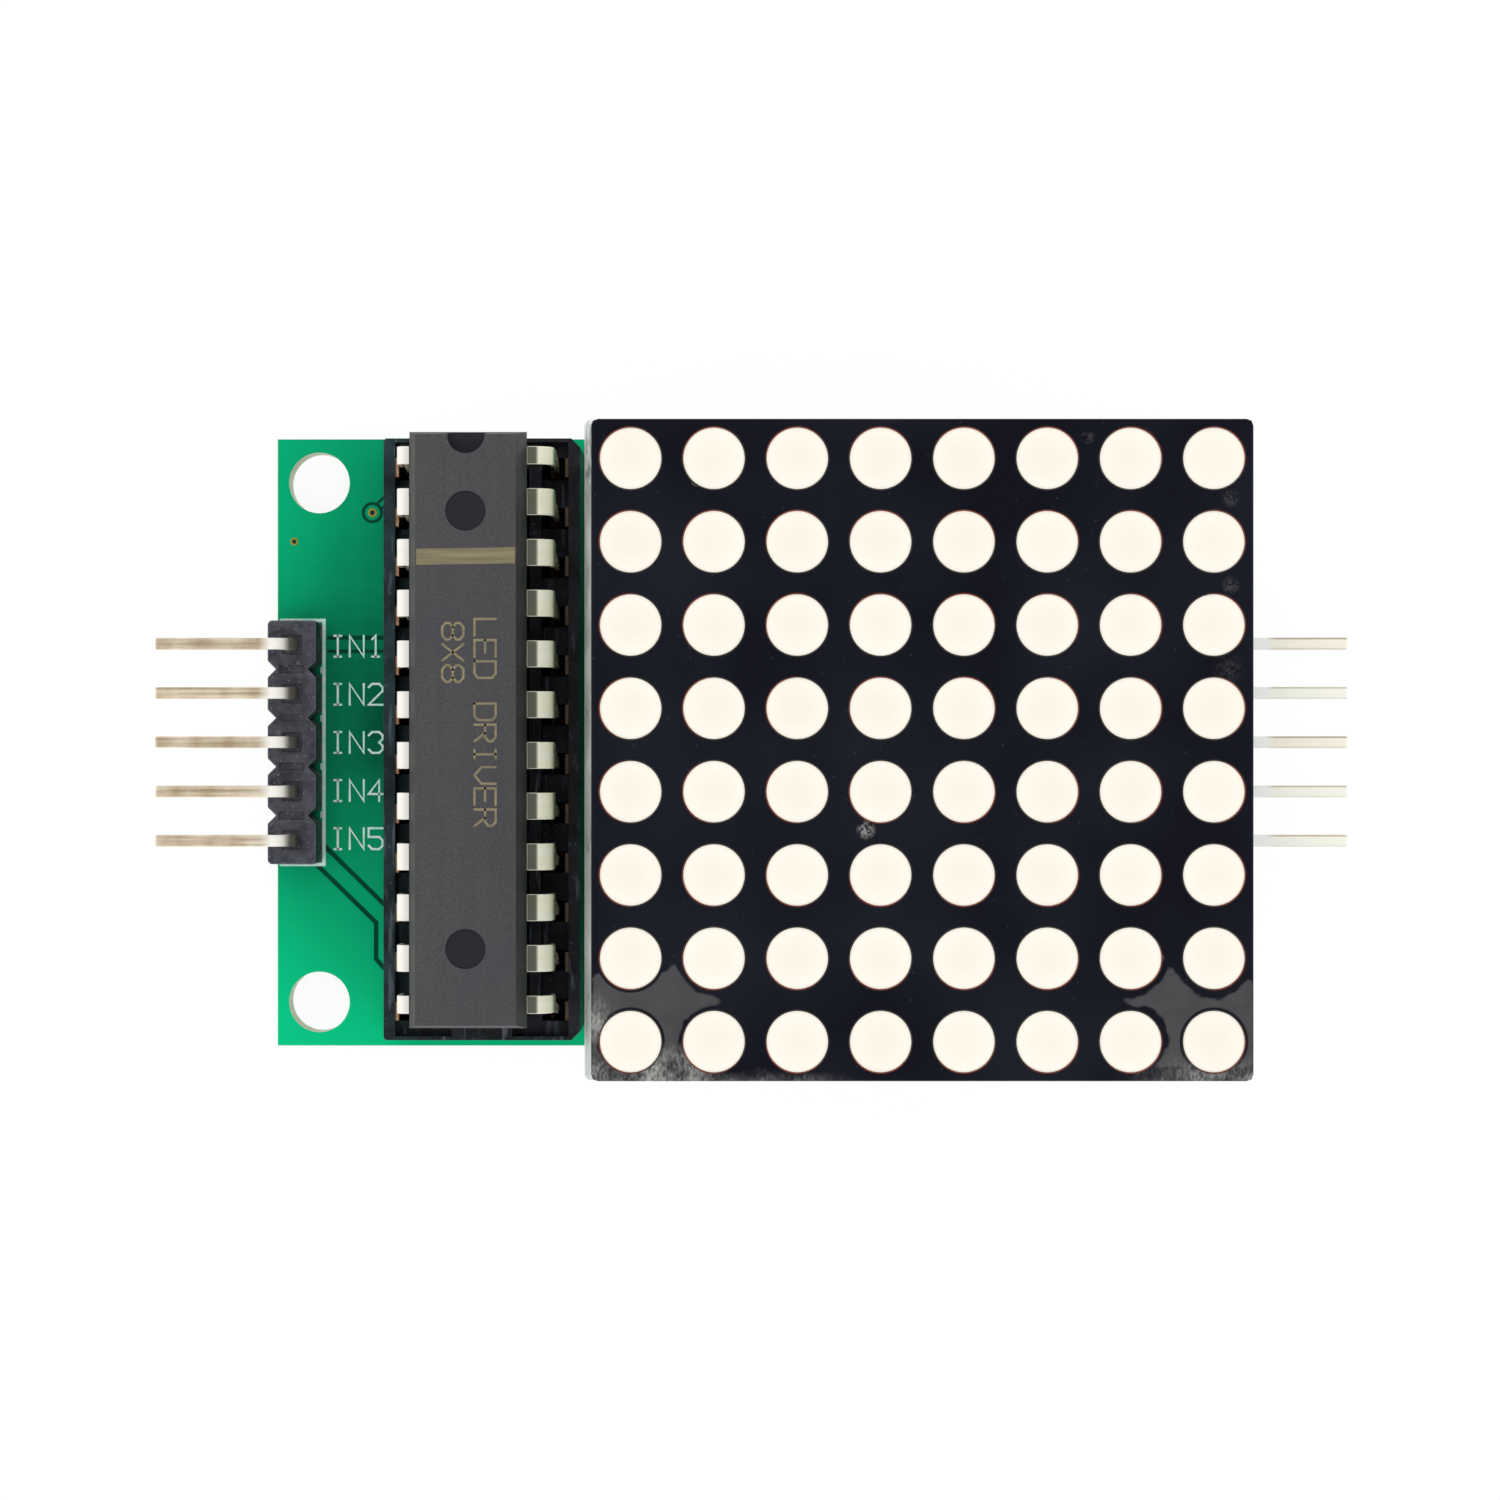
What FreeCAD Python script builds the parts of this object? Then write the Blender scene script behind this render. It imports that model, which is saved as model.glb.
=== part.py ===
import FreeCAD, Part
import os
from math import cos, pi, sin

# LED dot matrix module: a square display plugged on a driver board that also
# carries a chip in a socket and a right-angle pin header at each end.
# Millimetres. The origin is the centre of the mounting holes on the board's
# underside, +Z points out of the display face and +X towards the display end.

Vector = FreeCAD.Vector

# Board
board_length = 50.0
board_width = 32.0
board_thickness = 1.6
mounting_inset_x = 2.2
mounting_inset_y = 2.3
mounting_hole_diameter = 3.2
tail_below_board = 1.5

# Pin grid that all the leads follow
pitch = 2.54

# Right-angle pin headers, one just past each end of the board
header_pin_count = 5
header_overhang = 0.19
header_body_depth = 2.54
header_body_height = 2.54
header_notch_depth = 0.43
header_corner = 0.15
header_groove_width = 0.48
header_groove_length = 1.35
header_groove_depth = 0.2
header_recess_margin = 0.23
header_recess_depth = 0.25
header_pin_width = 0.6
header_pin_rise = 1.66
header_pin_bend_radius = 0.95
header_pin_reach = 6.78

# Chip socket
socket_center_x = -13.84
socket_center_y = 0.15
socket_row_spacing = 7.62
socket_row_count = 12
socket_end_margin = 0.21
socket_outer_wall = 0.6
socket_inner_wall = 0.6
socket_height = 5.0
socket_left_corner = 0.12
socket_right_corner = 0.45
socket_channel_depth = 1.6
socket_end_bar = 1.5
socket_cross_bar = 1.6
socket_cross_bar_height = 3.0
socket_ledge_depth = 1.0
socket_ledge_lip = 0.2
socket_raised_width = 3.1
socket_foot_height = 0.5
socket_foot_length = 3.0

# Contacts of the chip socket
cavity_length = 1.1
cavity_outward = 0.64
cavity_inward = 0.76
contact_floor_height = 1.0
contact_thickness = 0.18
contact_side_clearance = 0.05
contact_top_drop = 0.15
contact_inner_drop = 0.8
contact_tail_width = 0.5

# Chip
chip_end_beyond_lead = 0.95
chip_side_to_row = 0.87
chip_side_draft = 0.44
chip_height = 3.3
chip_end_draft = 0.25
chip_standoff = 2.75
chip_side_offset = -0.34
chip_end_offset = 0.45
chip_notch_radius = 0.95
chip_notch_depth = 1.1
chip_mark_diameter = 2.0
chip_mark_depth = 0.1
chip_mark_from_end = 4.05

# Chip leads
lead_thickness = 0.25
lead_shoulder_width = 1.34
lead_leg_width = 0.46
lead_bend_share = 0.68
lead_bend_steps = 3
lead_shoulder_drop = 0.4
lead_leg_length = 3.8

# Display sockets, two single-row strips that the display plugs into
strip_pin_count = 8
strip_end_margin = 0.15
strip_width = 2.5
strip_height = 8.5
strip_hole_width = 1.0
strip_floor_height = 1.5
spring_thickness = 0.2
spring_side_clearance = 0.1
spring_top_drop = 1.2
spring_tail_width = 0.5

# Display
display_center_x = 8.2
display_center_y = -0.4
display_face_size = 31.8
display_height = 8.0
display_draft = 0.7
display_corner_radius = 0.3
display_wall = 1.2
display_plate = 3.2
display_mask_thickness = 0.4
display_row_inset = 3.9
dot_count = 8
dot_edge_inset = 1.9
dot_diameter = 3.0
dot_window_sides = 14

# Inside the display
die_size = 0.35
die_height = 0.25
die_gap = 0.5
matrix_board_thickness = 1.0
matrix_board_clearance = 0.1
potting_recess = 0.3
display_pin_width = 0.5
display_pin_length = 4.6

# Electrolytic capacitor under the display
electrolytic_x = 2.0
electrolytic_y = 4.6
electrolytic_diameter = 5.0
electrolytic_height = 6.6
electrolytic_rim = 0.3
electrolytic_bung_height = 0.6
electrolytic_lead_spacing = 2.0
electrolytic_lead_width = 0.5

# Dipped ceramic capacitor under the display
ceramic_x = 2.0
ceramic_y = -1.2
ceramic_width = 4.6
ceramic_height = 4.4
ceramic_thickness = 2.4
ceramic_corner = 0.8
ceramic_standoff = 0.9
ceramic_lead_spacing = 2.54
ceramic_lead_width = 0.5

# Resistor under the display
resistor_x = 10.0
resistor_y = -6.0
resistor_length = 6.3
resistor_diameter = 2.3
resistor_end_diameter = 1.7
resistor_end_length = 0.5
resistor_lead_spacing = 10.16
resistor_lead_width = 0.5

# Lengths worked out from the sizes above
socket_width = socket_row_spacing + 2 * (cavity_outward + socket_outer_wall)
socket_window_width = socket_row_spacing - 2 * (cavity_inward + socket_inner_wall)
socket_length = socket_row_count * pitch + 2 * socket_end_margin
contact_width = cavity_length - 2 * contact_side_clearance
chip_length = (socket_row_count - 1) * pitch + 2 * chip_end_beyond_lead
chip_parting_width = socket_row_spacing - 2 * chip_side_to_row
chip_face_width = chip_parting_width - 2 * chip_side_draft
strip_length = strip_pin_count * pitch + 2 * strip_end_margin
spring_width = strip_hole_width - 2 * spring_side_clearance
display_row_spacing = display_face_size - 2 * display_row_inset
dot_pitch = (display_face_size - 2 * dot_edge_inset) / (dot_count - 1)

# Heights worked out from the sizes above
board_top = board_thickness
tail_bottom = -tail_below_board
header_top = board_top + header_body_height
header_pin_axis = header_top + header_pin_rise
socket_top = board_top + socket_height
contact_floor = board_top + contact_floor_height
chip_bottom = socket_top + chip_standoff
chip_top = chip_bottom + chip_height
chip_parting = chip_bottom + chip_height / 2
lead_seat = chip_bottom - lead_shoulder_drop
display_back = board_top + strip_height
display_face = display_back + display_height
plate_top = display_face - display_mask_thickness
plate_bottom = plate_top - display_plate
matrix_board_top = plate_bottom - die_gap
matrix_board_bottom = matrix_board_top - matrix_board_thickness
potting_bottom = display_back + potting_recess


def box(x_range, y_range, z_range):
    """Block between two x, two y and two z values, each pair low then high."""
    size = [pair[1] - pair[0] for pair in (x_range, y_range, z_range)]
    corner = Vector(x_range[0], y_range[0], z_range[0])
    return Part.makeBox(size[0], size[1], size[2], corner)


def centered_box(x, y, width_x, width_y, z_range):
    """Block centred on x, y in plan."""
    x_range = (x - width_x / 2, x + width_x / 2)
    y_range = (y - width_y / 2, y + width_y / 2)
    return box(x_range, y_range, z_range)


def prism(points, direction):
    """Solid from a closed outline moved along a direction."""
    outline = Part.makePolygon(points + [points[0]])
    return Part.Face(outline).extrude(direction)


def grid_offsets(count, step):
    """Evenly spaced offsets about zero."""
    return [(index - (count - 1) / 2) * step for index in range(count)]


def rounded_square(size, radius, x, y, z):
    """Closed wire of a square with rounded corners."""
    half = size / 2
    flat = half - radius
    mid = radius * cos(pi / 4)
    edges = []
    for turn in range(4):
        spin = FreeCAD.Rotation(Vector(0, 0, 1), 90 * turn)
        start = spin.multVec(Vector(half, -flat, 0))
        end = spin.multVec(Vector(half, flat, 0))
        middle = spin.multVec(Vector(flat + mid, flat + mid, 0))
        after = spin.multVec(Vector(flat, half, 0))
        edges.append(Part.LineSegment(start, end).toShape())
        edges.append(Part.Arc(end, middle, after).toShape())
    wire = Part.Wire(edges)
    wire.translate(Vector(x, y, z))
    return wire


def side_name(side):
    """Word for the low or the high X side."""
    return "left" if side < 0 else "right"


def row_name(side):
    """Word for the low or the high Y side."""
    return "lower" if side < 0 else "upper"


# Places that several parts share

def mounting_points():
    half_x = board_length / 2 - mounting_inset_x
    half_y = board_width / 2 - mounting_inset_y
    return [(x, y) for x in (-half_x, half_x) for y in (-half_y, half_y)]


def header_row_x(side):
    return side * (board_length / 2 + header_overhang - header_body_depth / 2)


def header_ys():
    return grid_offsets(header_pin_count, pitch)


def socket_row_x(side):
    return socket_center_x + side * socket_row_spacing / 2


def socket_ys():
    return [socket_center_y + offset for offset in grid_offsets(socket_row_count, pitch)]


def strip_xs():
    return [display_center_x + offset for offset in grid_offsets(strip_pin_count, pitch)]


def strip_row_y(side):
    return display_center_y + side * display_row_spacing / 2


def electrolytic_lead_xs():
    half = electrolytic_lead_spacing / 2
    return (electrolytic_x - half, electrolytic_x + half)


def ceramic_lead_xs():
    half = ceramic_lead_spacing / 2
    return (ceramic_x - half, ceramic_x + half)


def resistor_lead_xs():
    half = resistor_lead_spacing / 2
    return (resistor_x - half, resistor_x + half)


# Board

def slot(x, y, width_x, width_y):
    """Hole through the board, filled with solder up to the lead inside it."""
    return centered_box(x, y, width_x, width_y, (0, board_top))


def square_slots(xs, y, width):
    return [slot(x, y, width, width) for x in xs]


def circuit_board():
    x_range = (-board_length / 2, board_length / 2)
    y_range = (-board_width / 2, board_width / 2)
    plate = box(x_range, y_range, (0, board_top))
    tools = []
    for x, y in mounting_points():
        tools.append(Part.makeCylinder(mounting_hole_diameter / 2, board_thickness, Vector(x, y, 0)))
    for side in (-1, 1):
        for y in header_ys():
            tools += square_slots([header_row_x(side)], y, header_pin_width)
        tools += [slot(tail_x(side), y, contact_thickness, contact_tail_width) for y in socket_ys()]
        tools += [slot(x, strip_row_y(side), spring_tail_width, spring_thickness) for x in strip_xs()]
    tools += square_slots(electrolytic_lead_xs(), electrolytic_y, electrolytic_lead_width)
    tools += square_slots(ceramic_lead_xs(), ceramic_y, ceramic_lead_width)
    tools += square_slots(resistor_lead_xs(), resistor_y, resistor_lead_width)
    return plate.cut(tools)


# Right-angle pin headers

def header_outline():
    """Row of cells with a V notch between neighbours, centred on the row."""
    half = header_body_depth / 2
    end = header_pin_count * pitch / 2
    corner = header_corner
    notch = header_notch_depth
    right = [Vector(half - corner, -end, 0), Vector(half, corner - end, 0)]
    for y in grid_offsets(header_pin_count - 1, pitch):
        right += [Vector(half, y - notch, 0), Vector(half - notch, y, 0), Vector(half, y + notch, 0)]
    right += [Vector(half, end - corner, 0), Vector(half - corner, end, 0)]
    left = [Vector(-point.x, point.y, 0) for point in reversed(right)]
    return right + left


def header_body(side):
    x = header_row_x(side)
    body = prism(header_outline(), Vector(0, 0, header_body_height))
    body.translate(Vector(x, 0, board_top))
    groove_z = (header_top - header_groove_depth, header_top)
    recess_z = (header_top - header_recess_depth, header_top)
    recess = header_pin_width + 2 * header_recess_margin
    tools = []
    for y in grid_offsets(header_pin_count - 1, pitch):
        tools.append(centered_box(x, y, header_groove_length, header_groove_width, groove_z))
    for y in header_ys():
        tools.append(centered_box(x, y, recess, recess, recess_z))
        tools.append(centered_box(x, y, header_pin_width, header_pin_width, (board_top, header_top)))
    return body.cut(tools)


def header_pin_profile(side):
    """Face of a pin that rises from the board and bends outwards."""
    x = header_row_x(side)
    half = header_pin_width / 2
    radius = header_pin_bend_radius
    tip = header_pin_reach
    low = header_pin_axis - half
    high = header_pin_axis + half
    bend_z = header_pin_axis - radius

    def place(out, z):
        return Vector(x + side * out, 0, z)

    def arc(bend, start, end):
        middle = place(radius - bend * cos(pi / 4), bend_z + bend * sin(pi / 4))
        return Part.Arc(start, middle, end).toShape()

    points = [place(radius, low), place(tip, low), place(tip, high), place(radius, high)]
    edges = [Part.LineSegment(a, b).toShape() for a, b in zip(points, points[1:])]
    edges.append(arc(radius + half, points[-1], place(-half, bend_z)))
    tail = [place(-half, bend_z), place(-half, tail_bottom), place(half, tail_bottom), place(half, bend_z)]
    edges += [Part.LineSegment(a, b).toShape() for a, b in zip(tail, tail[1:])]
    edges.append(arc(radius - half, tail[-1], points[0]))
    return Part.Face(Part.Wire(edges))


def header_pin(side, y):
    pin = header_pin_profile(side).extrude(Vector(0, header_pin_width, 0))
    pin.translate(Vector(0, y - header_pin_width / 2, 0))
    return pin


# Chip socket

def socket_outline():
    """Plan of the socket frame; its corners are cut off more on the display side."""
    half_x = socket_width / 2
    half_y = socket_length / 2
    a = socket_left_corner
    b = socket_right_corner
    upper = [Vector(half_x, half_y - b, 0), Vector(half_x - b, half_y, 0)]
    upper += [Vector(a - half_x, half_y, 0), Vector(-half_x, half_y - a, 0)]
    return upper + [Vector(p.x, -p.y, 0) for p in reversed(upper)]


def socket_windows():
    """Openings between the rails and bars of the frame."""
    inner = socket_window_width
    clear_length = socket_length - 2 * socket_end_bar
    window = (clear_length - 2 * socket_cross_bar) / 3
    above_bar = (board_top + socket_cross_bar_height, socket_top)
    tools = [centered_box(socket_center_x, socket_center_y, inner, clear_length, above_bar)]
    for offset in grid_offsets(3, window + socket_cross_bar):
        y = socket_center_y + offset
        tools.append(centered_box(socket_center_x, y, inner, window, (board_top, socket_top)))
    return tools


def socket_ledges():
    """Lowered parts of both end bars, each side of the raised middle."""
    outer = socket_row_spacing / 2 + cavity_outward
    inner = socket_raised_width / 2
    z_range = (socket_top - socket_ledge_depth, socket_top)
    far = socket_length / 2 - socket_ledge_lip
    near = socket_length / 2 - socket_end_bar
    tools = []
    for end in (-1, 1):
        y_range = sorted([socket_center_y + end * near, socket_center_y + end * far])
        for side in (-1, 1):
            x_range = sorted([socket_center_x + side * inner, socket_center_x + side * outer])
            tools.append(box(x_range, y_range, z_range))
    return tools


def cavity_range(side):
    """X range of the contact cavities in one rail."""
    row = socket_row_x(side)
    return sorted([row + side * cavity_outward, row - side * cavity_inward])


def tail_x(side):
    """Centre of the contact tails, which run down from the outer leaf."""
    return socket_row_x(side) + side * (cavity_outward - contact_thickness / 2)


def socket_cavities():
    """Pocket for each contact, open at both ends."""
    tools = []
    for side in (-1, 1):
        x_range = cavity_range(side)
        for y in socket_ys():
            y_range = (y - cavity_length / 2, y + cavity_length / 2)
            tools.append(box(x_range, y_range, (board_top, socket_top)))
    return tools


def socket_channels():
    """Trough along each rail, where only the contacts stand up between the walls."""
    y_range = (socket_ys()[0], socket_ys()[-1])
    z_range = (socket_top - socket_channel_depth, socket_top)
    return [box(cavity_range(side), y_range, z_range) for side in (-1, 1)]


def socket_underside():
    """Relief between the feet, so that solder fumes can escape."""
    length = socket_length - 2 * socket_foot_length
    z_range = (board_top, board_top + socket_foot_height)
    return centered_box(socket_center_x, socket_center_y, socket_width, length, z_range)


def socket_body():
    frame = prism(socket_outline(), Vector(0, 0, socket_height))
    frame.translate(Vector(socket_center_x, socket_center_y, board_top))
    tools = socket_windows() + socket_ledges() + socket_cavities() + socket_channels()
    tools.append(socket_underside())
    return frame.cut(tools)


def socket_contact(side, y):
    """Stamped spring: outer leaf on the wall, floor strip, inner leaf on the lead."""
    t = contact_thickness
    row = socket_row_x(side)
    top = socket_top - contact_top_drop
    inner_top = socket_top - contact_inner_drop
    touch = -lead_thickness / 2
    base = -cavity_inward + t

    def place(out, z):
        return Vector(row + side * out, y - contact_width / 2, z)

    points = [place(cavity_outward, contact_floor), place(cavity_outward, top)]
    points += [place(cavity_outward - t, top), place(cavity_outward - t, contact_floor + t)]
    points += [place(base + t, contact_floor + t), place(touch, inner_top)]
    points += [place(touch - t, inner_top), place(base, contact_floor)]
    spring = prism(points, Vector(0, contact_width, 0))
    tail_z = (tail_bottom, contact_floor)
    tail = centered_box(tail_x(side), y, t, contact_tail_width, tail_z)
    return spring.fuse(tail).removeSplitter()


def socket_contacts(side):
    return Part.makeCompound([socket_contact(side, y) for y in socket_ys()])


# Chip

def chip_center():
    return (socket_center_x + chip_side_offset, socket_center_y + chip_end_offset)


def chip_half(face_z):
    """Half of the moulded body, from the parting plane to one face."""
    x, y = chip_center()
    wires = []
    face_length = chip_length - 2 * chip_end_draft
    for width, length, z in (
        (chip_parting_width, chip_length, chip_parting),
        (chip_face_width, face_length, face_z),
    ):
        a = width / 2
        b = length / 2
        corners = [Vector(x - a, y - b, z), Vector(x + a, y - b, z)]
        corners += [Vector(x + a, y + b, z), Vector(x - a, y + b, z)]
        wires.append(Part.makePolygon(corners + [corners[0]]))
    return Part.makeLoft(wires, True, True)


def chip_body():
    x, y = chip_center()
    body = chip_half(chip_bottom).fuse(chip_half(chip_top)).removeSplitter()
    notch_y = y + chip_length / 2 - chip_end_draft
    notch_z = chip_top - chip_notch_depth
    tools = [Part.makeCylinder(chip_notch_radius, chip_notch_depth, Vector(x, notch_y, notch_z))]
    for end in (-1, 1):
        mark_y = y + end * (chip_length / 2 - chip_mark_from_end)
        corner = Vector(x, mark_y, chip_top - chip_mark_depth)
        tools.append(Part.makeCylinder(chip_mark_diameter / 2, chip_mark_depth, corner))
    return body.cut(tools)


def lead_bend(side, upright_x, flat_z, radius, y):
    """Points round a bend, from its flat end to its upright end."""
    points = []
    for step in range(lead_bend_steps + 1):
        angle = pi / 2 * step / lead_bend_steps
        x = upright_x - side * radius * (1 - sin(angle))
        points.append(Vector(x, y, flat_z - radius * (1 - cos(angle))))
    return points


def lead_shoulder(side, low_y, high_y):
    """Wide flat part that leaves the body and bends down beside it."""
    x, _ = chip_center()
    root = x + side * chip_parting_width / 2
    outer = socket_row_x(side) + side * lead_thickness / 2
    inner = outer - side * lead_thickness
    top = chip_parting + lead_thickness / 2
    low = chip_parting - lead_thickness / 2
    outer_radius = lead_bend_share * abs(outer - root)
    inner_radius = max(outer_radius - lead_thickness, 0)
    points = [Vector(root, low_y, low), Vector(root, low_y, top)]
    points += lead_bend(side, outer, top, outer_radius, low_y)
    points += [Vector(outer, low_y, lead_seat), Vector(inner, low_y, lead_seat)]
    points += reversed(lead_bend(side, inner, low, inner_radius, low_y))
    return prism(points, Vector(0, high_y - low_y, 0))


def lead_leg(side, top_y, tip_y):
    """Narrow leg that leans back to the middle of its contact."""
    half = lead_leg_width / 2
    x = socket_row_x(side) - lead_thickness / 2
    tip_z = lead_seat - lead_leg_length
    points = [Vector(x, top_y - half, lead_seat), Vector(x, top_y + half, lead_seat)]
    points += [Vector(x, tip_y + half, tip_z), Vector(x, tip_y - half, tip_z)]
    return prism(points, Vector(lead_thickness, 0, 0))


def chip_lead(side, index):
    """One lead; the shoulder of an end lead is wide only towards the middle."""
    tip_y = socket_ys()[index]
    top_y = tip_y + chip_end_offset
    low_y = top_y - lead_shoulder_width / 2
    high_y = top_y + lead_shoulder_width / 2
    if index == 0:
        low_y = top_y - lead_leg_width / 2
    if index == socket_row_count - 1:
        high_y = top_y + lead_leg_width / 2
    shoulder = lead_shoulder(side, low_y, high_y)
    return shoulder.fuse(lead_leg(side, top_y, tip_y)).removeSplitter()


def chip_leads(side):
    return Part.makeCompound([chip_lead(side, index) for index in range(socket_row_count)])


# Display sockets

def strip_body(side):
    y = strip_row_y(side)
    z_range = (board_top, display_back)
    body = centered_box(display_center_x, y, strip_length, strip_width, z_range)
    holes = [centered_box(x, y, strip_hole_width, strip_hole_width, z_range) for x in strip_xs()]
    return body.cut(holes)


def strip_spring(x, y):
    """Fork of two leaves that grips a display pin, on a tail through the board."""
    t = spring_thickness
    grip = display_pin_width / 2
    wall = strip_hole_width / 2
    floor = board_top + strip_floor_height
    top = display_back - spring_top_drop
    low_x = x - spring_width / 2

    def place(out, z):
        return Vector(low_x, y + out, z)

    half = [place(wall, floor), place(grip + t, top), place(grip, top), place(wall - t, floor + t)]
    other = [Vector(p.x, 2 * y - p.y, p.z) for p in reversed(half)]
    fork = prism(half + other, Vector(spring_width, 0, 0))
    tail = centered_box(x, y, spring_tail_width, t, (tail_bottom, floor))
    return fork.fuse(tail).removeSplitter()


def strip_contacts(side):
    return Part.makeCompound([strip_spring(x, strip_row_y(side)) for x in strip_xs()])


# Display

def matrix_housing():
    """Moulded shell, a little wider at its open back than at its face."""
    x = display_center_x
    y = display_center_y
    back_size = display_face_size + 2 * display_draft
    back = rounded_square(back_size, display_corner_radius, x, y, display_back)
    front = rounded_square(display_face_size, display_corner_radius, x, y, plate_top)
    shell = Part.makeLoft([back, front], True, True)
    inside = display_face_size - 2 * display_wall
    return shell.cut(centered_box(x, y, inside, inside, (display_back, plate_bottom)))


def dot_window(x, y):
    """Round window of many short sides, as wide across as the dot."""
    radius = dot_diameter / 2
    points = []
    for index in range(dot_window_sides):
        angle = 2 * pi * (index + 0.5) / dot_window_sides
        points.append(Vector(x + radius * cos(angle), y + radius * sin(angle), plate_top))
    return prism(points, Vector(0, 0, display_mask_thickness))


def matrix_mask():
    """Dark front plate with a round window at every dot."""
    x = display_center_x
    y = display_center_y
    outline = rounded_square(display_face_size, display_corner_radius, x, y, plate_top)
    sheet = Part.Face(outline).extrude(Vector(0, 0, display_mask_thickness))
    windows = []
    for dx in grid_offsets(dot_count, dot_pitch):
        windows += [dot_window(x + dx, y + dy) for dy in grid_offsets(dot_count, dot_pitch)]
    return sheet.cut(windows)


def matrix_board():
    size = display_face_size - 2 * display_wall - 2 * matrix_board_clearance
    z_range = (matrix_board_bottom, matrix_board_top)
    return centered_box(display_center_x, display_center_y, size, size, z_range)


def matrix_dies():
    """Light-emitting chips on the inner board, one behind every dot."""
    z_range = (matrix_board_top, matrix_board_top + die_height)
    dies = []
    for dx in grid_offsets(dot_count, dot_pitch):
        for dy in grid_offsets(dot_count, dot_pitch):
            x = display_center_x + dx
            y = display_center_y + dy
            dies.append(centered_box(x, y, die_size, die_size, z_range))
    return Part.makeCompound(dies)


def matrix_potting():
    """Cast resin that closes the back of the display round its pins."""
    size = display_face_size - 2 * display_wall
    z_range = (potting_bottom, matrix_board_bottom)
    block = centered_box(display_center_x, display_center_y, size, size, z_range)
    tools = []
    for side in (-1, 1):
        for x in strip_xs():
            pin_z = (potting_bottom, matrix_board_bottom)
            y = strip_row_y(side)
            tools.append(centered_box(x, y, display_pin_width, display_pin_width, pin_z))
    return block.cut(tools)


def matrix_pins(side):
    z_range = (display_back - display_pin_length, matrix_board_bottom)
    y = strip_row_y(side)
    width = display_pin_width
    return Part.makeCompound([centered_box(x, y, width, width, z_range) for x in strip_xs()])


# Small parts under the display

def straight_leads(xs, y, width, top):
    return Part.makeCompound([centered_box(x, y, width, width, (tail_bottom, top)) for x in xs])


def electrolytic_can():
    low = board_top + electrolytic_bung_height
    height = electrolytic_height - electrolytic_bung_height
    corner = Vector(electrolytic_x, electrolytic_y, low)
    return Part.makeCylinder(electrolytic_diameter / 2, height, corner)


def electrolytic_bung():
    radius = electrolytic_diameter / 2 - electrolytic_rim
    corner = Vector(electrolytic_x, electrolytic_y, board_top)
    bung = Part.makeCylinder(radius, electrolytic_bung_height, corner)
    return bung.cut(electrolytic_leads())


def electrolytic_leads():
    top = board_top + electrolytic_bung_height
    return straight_leads(electrolytic_lead_xs(), electrolytic_y, electrolytic_lead_width, top)


def ceramic_body():
    """Dipped block with its corners cut off, standing across the board."""
    half = ceramic_width / 2
    low = board_top + ceramic_standoff
    high = low + ceramic_height
    c = ceramic_corner
    outline = [(half, low + c), (half, high - c), (half - c, high)]
    outline += [(c - half, high), (-half, high - c), (-half, low + c), (c - half, low), (half - c, low)]
    y = ceramic_y - ceramic_thickness / 2
    points = [Vector(ceramic_x + dx, y, z) for dx, z in outline]
    return prism(points, Vector(0, ceramic_thickness, 0))


def ceramic_leads():
    top = board_top + ceramic_standoff
    return straight_leads(ceramic_lead_xs(), ceramic_y, ceramic_lead_width, top)


def resistor_axis_z():
    return board_top + resistor_diameter / 2


def resistor_body():
    """Lacquered rod with rounded-off ends."""
    half = resistor_length / 2
    flat = half - resistor_end_length
    thick = resistor_diameter / 2
    thin = resistor_end_diameter / 2
    points = [Vector(-half, 0, 0), Vector(-half, 0, thin), Vector(-flat, 0, thick)]
    points += [Vector(flat, 0, thick), Vector(half, 0, thin), Vector(half, 0, 0)]
    outline = Part.Face(Part.makePolygon(points + [points[0]]))
    rod = outline.revolve(Vector(0, 0, 0), Vector(1, 0, 0), 360)
    rod.translate(Vector(resistor_x, resistor_y, resistor_axis_z()))
    return rod


def resistor_leads():
    """Wires that run out of the caps and turn down through the board."""
    half = resistor_lead_width / 2
    z = resistor_axis_z()
    leads = []
    for side, x in zip((-1, 1), resistor_lead_xs()):
        start = resistor_x + side * resistor_length / 2
        outer = x + side * half
        inner = x - side * half
        y = resistor_y - half
        points = [Vector(start, y, z - half), Vector(inner, y, z - half), Vector(inner, y, tail_bottom)]
        points += [Vector(outer, y, tail_bottom), Vector(outer, y, z), Vector(outer - side * half, y, z + half)]
        points += [Vector(start, y, z + half)]
        leads.append(prism(points, Vector(0, resistor_lead_width, 0)))
    return Part.makeCompound(leads)


# Everything, by node name

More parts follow.
